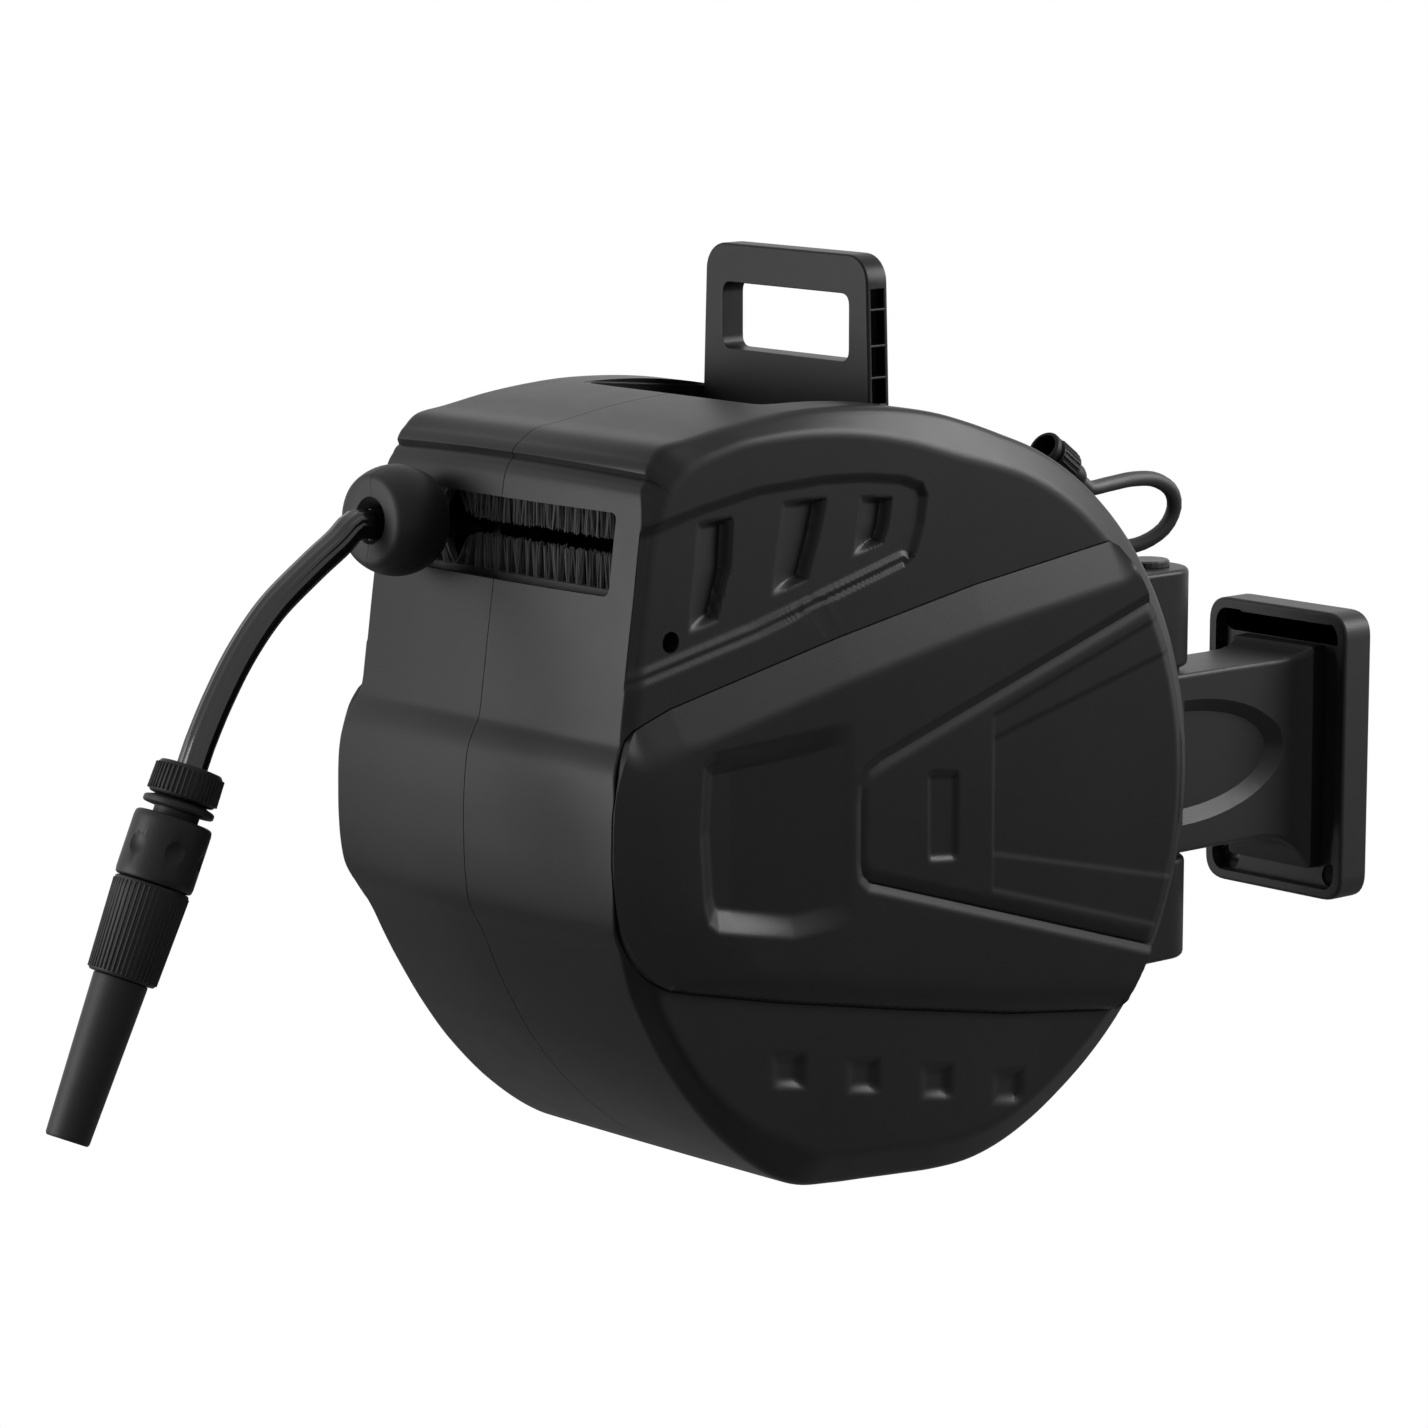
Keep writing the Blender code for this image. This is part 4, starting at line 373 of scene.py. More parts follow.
def depth_inside(points, polygon):
    """Distance to the polygon's edge, positive inside and negative outside."""
    polygon = np.asarray(polygon, float)
    distance, _ = nearest_on(points, polygon)
    inside = np.zeros(len(points), bool)
    y, z = points[:, 0], points[:, 1]
    for (ay, az), (by, bz) in zip(polygon, np.roll(polygon, -1, 0)):
        if az == bz:
            continue
        crosses = (az > z) != (bz > z)
        inside ^= crosses & (y < (by - ay) * (z - az) / (bz - az) + ay)
    return np.where(inside, distance, -distance)


def circle_arc(centre, radius, start, end, steps):
    """Points of a circular arc between two angles in degrees."""
    angles = np.radians(np.linspace(start, end, steps + 1))
    return np.stack((centre[0] + radius * np.cos(angles), centre[1] + radius * np.sin(angles)), 1)


def polar(radius, degrees, centre=DRUM):
    """(Y, Z) at a radius and angle about the drum or another centre."""
    turn = math.radians(degrees)
    return centre[0] + radius * math.cos(turn), centre[1] + radius * math.sin(turn)


def rounded_corner(before, corner, after, radius, steps):
    """Points of a curve of about this radius in place of a corner."""
    back = before - corner
    ahead = after - corner
    reach = min(radius, 0.45 * np.linalg.norm(back), 0.45 * np.linalg.norm(ahead))
    if reach < 1e-6:
        return [corner]
    start = corner + back / np.linalg.norm(back) * reach
    end = corner + ahead / np.linalg.norm(ahead) * reach
    return [bend(start, corner, end, t) for t in np.linspace(0, 1, steps + 1)]


def rounded_outline(points, radius, steps=5):
    """The closed outline with each corner rounded."""
    p = np.asarray(points, float)
    result = []
    for i in range(len(p)):
        result += rounded_corner(p[i - 1], p[i], p[(i + 1) % len(p)], radius, steps)
    return np.array(result)


def rounded_box(low, high, radius, steps=5):
    """A rectangle between two corners, with rounded corners."""
    (a, b), (c, d) = low, high
    return rounded_outline(((a, b), (c, b), (c, d), (a, d)), radius, steps)


# Meshes
def new_object(name, data):
    """An object with this data, linked to the scene."""
    obj = bpy.data.objects.new(name, data)
    bpy.context.scene.collection.objects.link(obj)
    return obj


def remove_object(obj):
    """Removes an object and its mesh."""
    mesh = obj.data
    bpy.data.objects.remove(obj)
    bpy.data.meshes.remove(mesh)


def add_mesh(name, points, faces):
    """An object of these points and faces, with its faces turned outwards."""
    mesh = bpy.data.meshes.new(name)
    mesh.from_pydata([tuple(map(float, p)) for p in points], [], [tuple(map(int, f)) for f in faces])
    mesh.validate()
    obj = new_object(name, mesh)
    tidy_mesh(obj)
    return obj


def tidy_mesh(obj, merge=0.000002):
    """Merges points that coincide and turns the faces outwards."""
    bm = bmesh.new()
    bm.from_mesh(obj.data)
    bmesh.ops.remove_doubles(bm, verts=bm.verts, dist=merge)
    bmesh.ops.dissolve_degenerate(bm, edges=bm.edges, dist=merge)
    bmesh.ops.recalc_face_normals(bm, faces=bm.faces)
    bm.to_mesh(obj.data)
    bm.free()


def smooth_shade(obj, angle=38.0):
    """Smooth shading, with edges sharper than this angle kept sharp."""
    obj.data.shade_smooth()
    obj.data.set_sharp_from_angle(angle=math.radians(angle))


def flat_normals(obj):
    """Large flat faces keep their own normal beside small sloping ones."""
    modifier = obj.modifiers.new("normals", "WEIGHTED_NORMAL")
    modifier.keep_sharp = True
    bake(obj)


def bake(obj):
    """Applies the object's modifiers to its mesh."""
    bpy.context.view_layer.update()
    graph = bpy.context.evaluated_depsgraph_get()
    mesh = bpy.data.meshes.new_from_object(obj.evaluated_get(graph))
    obj.modifiers.clear()
    old = obj.data
    obj.data = mesh
    bpy.data.meshes.remove(old)
    return obj


def boolean(target, tools, operation="DIFFERENCE", solver="EXACT"):
    """Cuts or joins the tools, then removes them."""
    for tool in tools:
        modifier = target.modifiers.new("boolean", "BOOLEAN")
        modifier.operation = operation
        modifier.object = tool
        modifier.solver = solver
        bake(target)
        remove_object(tool)
    if not target.data.polygons:
        raise RuntimeError(f"{target.name}: a Boolean left nothing")
    return target


def bevel(obj, width, segments=3, angle=35.0):
    """Rounds the edges that are sharper than this angle."""
    modifier = obj.modifiers.new("rounding", "BEVEL")
    modifier.width = width
    modifier.segments = segments
    modifier.limit_method = "ANGLE"
    modifier.angle_limit = math.radians(angle)
    modifier.use_clamp_overlap = True
    modifier.harden_normals = False
    return bake(obj)


def place_mesh(obj, matrix):
    """Moves the mesh itself, so that the object stays at the origin."""
    obj.data.transform(matrix)
    if matrix.determinant() < 0:
        obj.data.flip_normals()
    return obj


AXES = {
    "X": Matrix(((0, 0, 1, 0), (1, 0, 0, 0), (0, 1, 0, 0), (0, 0, 0, 1))),
    "Y": Matrix(((0, 1, 0, 0), (0, 0, 1, 0), (1, 0, 0, 0), (0, 0, 0, 1))),
    "Z": Matrix(),
}


def along(axis, x=0.0, y=0.0, z=0.0):
    """A frame at a place whose Z runs along an axis."""
    return Matrix.Translation((x, y, z)) @ AXES[axis]


def ring_quads(first, second, count):
    """Quads between two closed rings whose points start at these indices."""
    turned = [(i + 1) % count for i in range(count)]
    return [(first + i, first + j, second + j, second + i) for i, j in enumerate(turned)]


def loft(name, rings):
    """A closed skin over rings of equally many points, with flat ends."""
    count = len(rings[0])
    last = (len(rings) - 1) * count
    faces = []
    for start in range(0, last, count):
        faces += ring_quads(start, start + count, count)
    faces += [tuple(range(count))[::-1], tuple(range(last, last + count))]
    return add_mesh(name, np.concatenate(rings), faces)


def prism(name, outline, low, high, axis, edge=0.0, steps=3):
    """A (Y, Z) outline extruded along X, (Z, X) along Y or (X, Y) along Z, with rounded rims."""
    outline = np.asarray(outline, float)
    ahead = unit(np.roll(outline, -1, 0) - outline)
    behind = unit(outline - np.roll(outline, 1, 0))
    mean = unit(ahead + behind)
    inward = np.stack((-mean[:, 1], mean[:, 0]), 1) * np.sign(signed_area(outline))
    inward /= np.maximum(np.sum(mean * ahead, 1), 0.35)[:, None]
    levels = [(low, 0.0)]
    if edge > 0:
        turns = np.linspace(math.pi / 2, 0, steps + 1)
        levels = [(low + edge * (1 - math.sin(turn)), edge * (1 - math.cos(turn))) for turn in turns]
    levels += [(low + high - z, inset) for z, inset in levels[::-1]]
    rings = [np.column_stack((outline + inward * inset, np.full(len(outline), z))) for z, inset in levels]
    return place_mesh(loft(name, rings), AXES[axis])


def block(name, low, high, edge=0.0, steps=3):
    """A box between two corners, with all its edges rounded."""
    bm = bmesh.new()
    bmesh.ops.create_cube(bm, size=1.0)
    low, high = Vector(low), Vector(high)
    bmesh.ops.scale(bm, vec=high - low, verts=bm.verts)
    bmesh.ops.translate(bm, vec=(low + high) / 2, verts=bm.verts)
    if edge > 0:
        bmesh.ops.bevel(bm, geom=list(bm.edges), offset=edge, segments=steps, affect="EDGES", profile=0.5)
    mesh = bpy.data.meshes.new(name)
    bm.to_mesh(mesh)
    bm.free()
    return new_object(name, mesh)


def fillet(profile, radius, steps=3):
    """An open profile with its inner corners rounded."""
    p = np.asarray(profile, float)
    result = [p[0]]
    for i in range(1, len(p) - 1):
        result += rounded_corner(p[i - 1], p[i], p[i + 1], radius, steps)
    return np.array([*result, p[-1]])


def lathe(name, profile, matrix=Matrix(), steps=64, start=0.0, sweep=360.0, closed=False):
    """A turned piece about Z. The profile lists (radius, height); a part turn gets flat ends."""
    full = abs(sweep) >= 359.9
    turns = steps if full else steps + 1
    count = len(profile)
    points = []
    for angle in np.radians(start + sweep * np.arange(turns) / steps):
        points += [(radius * math.cos(angle), radius * math.sin(angle), height) for radius, height in profile]
    faces = []
    for t in range(steps):
        here, there = t * count, (t + 1) % turns * count
        for i in range(count if closed else count - 1):
            j = (i + 1) % count
            faces.append((here + i, there + i, there + j, here + j))
    if not full:
        faces += [tuple(range(count)), tuple(range((turns - 1) * count, turns * count))[::-1]]
    return place_mesh(add_mesh(name, points, faces), matrix)


def rod(name, radius, low, high, matrix, steps=32):
    """A plain round bar, used for cutting holes."""
    return lathe(name, ((0, low), (radius, low), (radius, high), (0, high)), matrix, steps)


def tube_mesh(name, path, radius, sides=24, flute=0.0, flutes=8):
    """A capped tube along a path; flute is the depth of the shallow ribs that run along it."""
    path = np.asarray(path, float)
    tangents = unit(np.gradient(path, axis=0))
    side = np.cross(tangents[0], (0.0, 0.0, 1.0))
    if np.linalg.norm(side) < 1e-3:
        side = np.cross(tangents[0], (1.0, 0.0, 0.0))
    angles = np.linspace(0, 2 * math.pi, sides, endpoint=False)
    radii = radius - flute * 0.5 * (1 - np.cos(flutes * angles))
    rings = []
    for place, tangent in zip(path, tangents):
        side = side - tangent * (side @ tangent)
        side /= np.linalg.norm(side)
        round_here = np.outer(np.cos(angles), side) + np.outer(np.sin(angles), np.cross(tangent, side))
        rings.append(place + round_here * radii[:, None])
    return loft(name, rings)


def height_sheet(name, polygon, surface, base, side, cell, hole=None):
    """A closed plate over a (Y, Z) polygon, from X = base(points) at its back to X = surface(points)."""
    polygon = np.asarray(polygon, float)
    low, high = polygon.min(0) - cell, polygon.max(0) + cell
    columns, rows = np.ceil((high - low) / cell).astype(int) + 1
    index = np.arange(columns * rows).reshape(columns, rows)
    points = low + cell * np.stack(np.divmod(index.ravel(), rows), 1)
    depth = depth_inside(points, polygon)
    if hole is not None:
        centre, radius = np.array(hole[:2]), hole[2]
        depth = np.minimum(depth, np.linalg.norm(points - centre, axis=1) - radius)
    quads = np.stack((index[:-1, :-1], index[1:, :-1], index[1:, 1:], index[:-1, 1:]), -1).reshape(-1, 4)
    quads = quads[depth[quads].mean(1) > 0]
    edges = np.concatenate([quads[:, [0, 1]], quads[:, [1, 2]], quads[:, [2, 3]], quads[:, [3, 0]]])
    _, first, counts = np.unique(np.sort(edges, 1), axis=0, return_index=True, return_counts=True)
    border = edges[first[counts == 1]]
    rim = np.unique(border)
    _, foot = nearest_on(points[rim], polygon)
    if hole is not None:
        offset = points[rim] - centre
        from_hole = np.abs(np.linalg.norm(offset, axis=1) - radius)
        near = from_hole < np.linalg.norm(points[rim] - foot, axis=1)
        foot[near] = centre + unit(offset[near]) * radius
    points[rim] = foot
    used = np.unique(quads)
    count = len(used)
    renumber = np.zeros(columns * rows, int)
    renumber[used] = np.arange(count)
    flat = points[used]
    outer = np.column_stack((side * surface(flat), flat))
    inner = np.column_stack((side * base(flat), flat))
    faces = [tuple(q) for q in renumber[quads]]
    faces += [tuple(count + q[::-1]) for q in renumber[quads]]
    faces += [(b, a, count + a, count + b) for a, b in renumber[border]]
    return add_mesh(name, np.vstack((outer, inner)), faces)


def finish_piece(obj, body, material, replaced=(), angle=38.0, flat=False):
    """Gives a finished piece its shading, material and body."""
    if len(obj.data.polygons) == 0:
        raise RuntimeError(f"{obj.name} has no faces")
    smooth_shade(obj, angle)
    if flat:
        flat_normals(obj)
    obj.data.materials.clear()
    obj.data.materials.append(material)
    if replaced:
        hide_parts(*replaced)
    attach(obj, body)
    return obj


# Nodes
class Value:
    """A node's output that can be added and multiplied like a number."""

    def __init__(self, nodes, socket):
        self.nodes = nodes
        self.socket = socket

    def math(self, operation, other=None, swapped=False):
        """This value, alone or with another one, through a Math node."""
        terms = [self] if other is None else [other, self] if swapped else [self, other]
        inputs = {f"i{place}": term for place, term in enumerate(terms)}
        return self.nodes.value("ShaderNodeMath", {"operation": operation}, **inputs)

    def __add__(self, other):
        return self.math("ADD", other)

    def __radd__(self, other):
        return self.math("ADD", other, True)

    def __sub__(self, other):
        return self.math("SUBTRACT", other)

    def __rsub__(self, other):
        return self.math("SUBTRACT", other, True)

    def __mul__(self, other):
        return self.math("MULTIPLY", other)

    def __rmul__(self, other):
        return self.math("MULTIPLY", other, True)

    def __truediv__(self, other):
        return self.math("DIVIDE", other)

    def __rtruediv__(self, other):
        return self.math("DIVIDE", other, True)


class Nodes:
    """A node tree, and what adds nodes to it."""

    def __init__(self, tree):
        self.tree = tree

    def feed(self, slot, term):
        """Gives an input a link or a plain value."""
        term = term.socket if isinstance(term, Value) else term
        if isinstance(term, bpy.types.NodeSocket):
            self.tree.links.new(term, slot)
        else:
            slot.default_value = term

    def add(self, kind, settings=None, **inputs):
        """A node of this kind. Inputs go by name, with _ for spaces, or by place as i0, i1 and so on."""
        node = self.tree.nodes.new(kind)
        for key, value in (settings or {}).items():
            setattr(node, key, value)
        for key, term in inputs.items():
            by_place = key[0] == "i" and key[1:].isdigit()
            self.feed(node.inputs[int(key[1:]) if by_place else key.replace("_", " ")], term)
        return node

    def value(self, kind, settings=None, output=0, **inputs):
        """One output of a new node, to reckon with."""
        return Value(self, self.add(kind, settings, **inputs).outputs[output])

    def surface(self, name, socket):
        """Links a shader to the tree's output node."""
        self.feed(self.tree.nodes[name].inputs["Surface"], socket)


class Recipe(Nodes):
    """A material and its node tree."""

    def __init__(self, name):
        self.material = bpy.data.materials.new(name)
        self.material.use_nodes = True
        super().__init__(self.material.node_tree)
        self.shader = self.tree.nodes["Principled BSDF"]

    def noise(self, scale, detail, roughness):
        """Noise over the object's own coordinates."""
        place = self.add("ShaderNodeTexCoord").outputs["Object"]
        return self.value("ShaderNodeTexNoise", Vector=place, Scale=scale, Detail=detail, Roughness=roughness)

    def between(self, factor, colour, low, high):
        """The colour, from a low share of itself to a high one."""
        ends = {"i6": (*tone(colour, low), 1.0), "i7": (*tone(colour, high), 1.0)}
        return self.value("ShaderNodeMix", {"data_type": "RGBA"}, 2, i0=factor, **ends)

    def bump(self, height, strength, distance):
        """A fine relief on the whole material."""
        self.set(Normal=self.value("ShaderNodeBump", Height=height, Strength=strength, Distance=distance))

    def set(self, **inputs):
        """Inputs of the material's shader."""
        for key, term in inputs.items():
            self.feed(self.shader.inputs[key.replace("_", " ")], term)


def tone(colour, share):
    """A share of a colour."""
    return tuple(channel * share for channel in colour[:3])


def once(paint):
    """Lets a painter make each named material only once."""

    def painted(name, *looks):
        if name not in MATERIALS:
            recipe = Recipe(name)
            paint(recipe, *looks)
            MATERIALS[name] = recipe.material
        return MATERIALS[name]

    return painted


@once
def moulded(recipe, colour, roughness, grain):
    """Injection-moulded plastic: a fine spark-eroded grain, faint flow marks and slightly uneven gloss."""
    cloud = recipe.noise(9.0, 3.0, 0.55)
    fine = recipe.noise(1400.0, 2.0, 0.6)
    scuff = recipe.noise(60.0, 4.0, 0.65)
    recipe.set(
        Base_Color=recipe.between(cloud, colour, 0.88, 1.12),
        Roughness=(cloud - 0.5) * 0.10 + (scuff - 0.5) * 0.06 + roughness,
        Specular_IOR_Level=PLASTIC_SHINE,
    )
    recipe.bump(fine + scuff * 0.4, grain, 0.00025)


@once
def extruded(recipe, colour, roughness):
    """Smooth extruded hose with a faintly uneven sheen."""
    cloud = recipe.noise(35.0, 2.0, 0.5)
    fine = recipe.noise(900.0, 2.0, 0.5)
    recipe.set(
        Base_Color=recipe.between(cloud, colour, 0.85, 1.15),
        Roughness=(cloud - 0.5) * 0.12 + roughness,
    )
    recipe.bump(fine, 0.08, 0.0002)


@once
def steel(recipe, colour, roughness):
    """Plated steel with fine turning marks."""
    cloud = recipe.noise(120.0, 3.0, 0.6)
    marks = recipe.noise(700.0, 2.0, 0.5)
    recipe.set(
        Base_Color=recipe.between(cloud, colour, 0.82, 1.05),
        Roughness=(cloud - 0.5) * 0.25 + roughness,
        Metallic=1.0,
    )
    recipe.bump(marks, 0.15, 0.0001)


@once
def bristle(recipe, colour, roughness):
    """Nylon bristles whose tone changes at random from strand to strand, with a painted highlight on one side
    of each tuft and painted shade on the other.
    """
    # The stored value mixes each strand's random tone with painted highlight and shade across its tuft.
    shade = recipe.value("ShaderNodeAttribute", {"attribute_name": "strand_shade"}, "Fac")
    fine = recipe.noise(2500.0, 1.0, 0.5)
    recipe.set(
        Base_Color=recipe.between(shade, colour, 0.35, 1.5),
        Roughness=(fine - 0.5) * 0.1 + roughness,
    )


def housing_plastic(look, part):
    """The plastic of a large moulding."""
    return moulded(f"{part}_plastic", getattr(look, f"{part}_colour"), look.casing_roughness, look.grain)


def connector_plastic(look, name="connector_plastic", share=1.0):
    """The smoother plastic of the connectors."""
    return moulded(name, tone(look.connector_colour, share), look.connector_roughness, look.grain * 0.6)


def hose_rubber(look):
    """The outgoing hose's material."""
    return extruded("hose_rubber", look.hose_colour, look.hose_roughness)


# Geometry Nodes
class GeometryTree(Nodes):
    """A geometry tree with named inputs, run once on an object and baked."""

    def __init__(self, name):
        super().__init__(bpy.data.node_groups.new(name, "GeometryNodeTree"))
        for way in ("INPUT", "OUTPUT"):
            self.tree.interface.new_socket("Geometry", in_out=way, socket_type="NodeSocketGeometry")
        self.entry = self.add("NodeGroupInput")
        self.exit = self.add("NodeGroupOutput")
        self.given = {}

    def input(self, name, given, kind="Float"):
        """A named input and the value that this use of the tree gives it."""
        self.tree.interface.new_socket(name, in_out="INPUT", socket_type=f"NodeSocket{kind}")
        self.given[name] = given
        return Value(self, self.entry.outputs[name])

    def vector(self, x=0.0, y=0.0, z=0.0):
        """A vector of three values."""
        return self.value("ShaderNodeCombineXYZ", X=x, Y=y, Z=z)

    def copies(self, count, place, piece, **turn):
        """Copies of a piece, each at its own place and turn."""
        points = self.value("GeometryNodePoints", Count=count)
        moved = self.value("GeometryNodeSetPosition", Geometry=points, Position=place)
        return self.value("GeometryNodeInstanceOnPoints", Points=moved, Instance=piece, **turn)

    def run(self, obj, geometry, material):
        """Ends the tree in realised instances with one material, then bakes it into the object."""
        real = self.value("GeometryNodeRealizeInstances", Geometry=geometry)
        painted = self.value("GeometryNodeSetMaterial", Geometry=real, Material=material)
        self.feed(self.exit.inputs[0], painted)
        modifier = obj.modifiers.new(self.tree.name, "NODES")
        modifier.node_group = self.tree
        for item in self.tree.interface.items_tree:
            if item.in_out == "INPUT" and item.name in self.given:
                modifier[item.identifier] = self.given[item.name]
        bake(obj)
        bpy.data.node_groups.remove(self.tree)
        return obj


def ribbed(obj, material, count, radii, heights, width, depth):
    """Adds a ring of fine lengthwise ribs about Z to a turned piece, between two heights."""
    tree = GeometryTree(f"{obj.name}_ribs")
    number = tree.input("Ribs", count, "Int")
    near = tree.input("Start Radius", radii[0])
    far = tree.input("End Radius", radii[1])
    low = tree.input("Start", heights[0])
    high = tree.input("End", heights[1])
    wide = tree.input("Rib Width", width)
    tall = tree.input("Rib Height", depth)
    index = tree.value("GeometryNodeInputIndex")
    angle = index / number * math.tau
    middle = (near + far) * 0.5
    place = tree.vector(angle.math("COSINE") * middle, angle.math("SINE") * middle, (low + high) * 0.5)
    length = high - low
    lean = (far - near).math("ARCTAN2", length)
    rib = tree.value("GeometryNodeMeshCylinder", Vertices=8, Radius=0.5, Depth=1.0)
    rib = tree.value("GeometryNodeTransform", Geometry=rib, Scale=tree.vector(tall, wide, length))
    ribs = tree.copies(number, place, rib, Rotation=tree.vector(0.0, lean, angle))
    both = tree.add("GeometryNodeJoinGeometry")
    for geometry in (tree.entry.outputs[0], ribs):
        tree.feed(both.inputs[0], geometry)
    return tree.run(obj, both.outputs[0], material)


# Casing
def outline_radii(outline, angles):
    """Distance of an outline from the outline centre in each direction."""
    curve = smooth_closed(outline, 24) - np.array(OUTLINE_CENTRE)
    direction = np.arctan2(curve[:, 1], curve[:, 0])
    order = np.argsort(direction)
    return np.interp(angles, direction[order], np.linalg.norm(curve, axis=1)[order], period=math.tau)


def casing_angles():
    """Directions round the outline, closer together at the brow and the louvre."""
    fine = np.linspace(-math.pi, math.pi, 20001)
    louvres = rise(fine, 1.50, 1.62) * (1 - rise(fine, 2.82, 2.96))
    brow = np.exp(-(((fine - 2.335) / 0.060) ** 2))
    weight = 1 + 2.0 * louvres + 2.5 * brow
    total = np.concatenate(([0], np.cumsum((weight[1:] + weight[:-1]) / 2)))
    return np.interp(np.linspace(0, total[-1], OUTLINE_STEPS, endpoint=False), total, fine)


def blur_round(values, angles, width):
    """The values blurred round the circle over a width in radians."""
    result = np.zeros_like(values)
    for i, angle in enumerate(angles):
        off = np.abs((angles - angle + math.pi) % math.tau - math.pi)
        weight = np.exp(-((off / width) ** 2)) * np.gradient(np.unwrap(angles))
        result[i] = (values * weight[:, None]).sum(0) / weight.sum()
    return result


def side_depth(points):
    """How far the side face is sunk at each (Y, Z) point."""
    y, z = points[:, 0], points[:, 1]
    inside = depth_inside(points, LOUVRE)
    from_low, _ = nearest_on(points, LOUVRE_LOW, False)
    ledge = np.interp(from_low, LEDGE_REACH, LEDGE_DEPTH)
    depth = np.where(inside > 0, np.minimum(LOUVRE_DEPTH * rise(inside, -0.0040, 0.0010), ledge), 0.0)
    depth = np.minimum(depth, LOUVRE_DEPTH * rise(depth_inside(points, LOUVRE_UPPER), 0.0, 0.0050))
    for scoop in SCOOPS:
        wall = np.array(scoop[1:4])
        order = np.argsort(wall[:, 1])
        wall_y = np.interp(z, wall[order, 1], wall[order, 0])
        left_y = np.interp(z, (scoop[4][1], scoop[0][1]), (scoop[4][0], scoop[0][0]))
        share = np.clip((y - left_y) / np.maximum(wall_y - left_y - 0.003, 0.005), 0.0, 1.0)
        depth += SCOOP_DEPTH * share * rise(depth_inside(points, scoop), 0.0, 0.0040)
    for middle_y, middle_z in DIMPLES:
        dy = y - middle_y
        dz = z - middle_z + 0.15 * dy
        inside = np.minimum.reduce((0.0115 - dy, dy + 0.0145, 0.0110 - np.abs(dz)))
        depth += DIMPLE_DEPTH * (1 - 0.6 * ramp(0.009 - dy, 0.0, 0.024)) * rise(inside, 0.0, 0.0070)
    return depth


def front_edge_x(points):
    """Half width at the shoulder: the front's corners stand further out than the round housing's."""
    y, z = points[:, 0], points[:, 1]
    belt = rise(z, -0.050, 0.020) * (1 - rise(z, 0.062, 0.104))
    nose = np.interp(z, FRONT_HEIGHTS, FRONT_WIDTHS) + (BELT_X - FRONT_X) * belt
    return SHOULDER_X + (nose - SHOULDER_X) * rise(-y, 0.600, 0.632)


def casing_line(top, radius, start, end, front):
    """A closed outline: over the top, round the rear, along the nearly flat foot and up the front."""
    arc = circle_arc((0.0, 0.0), 1.0, start, end, 27)
    less = np.interp(np.linspace(start, end, 28), REAR_ANGLES, REAR_CUT)
    arc = np.array(CASING_CENTRE) + arc * (radius - less)[:, None]
    lowest = FOOT_Z + CASING_RADIUS - radius
    foot = np.maximum(lowest - 0.08 * (arc[:, 0] + 0.430), lowest - FOOT_FALL)
    arc[:, 1] = -soft_least(-arc[:, 1], -foot, 0.004)
    return np.vstack((top, arc, front))


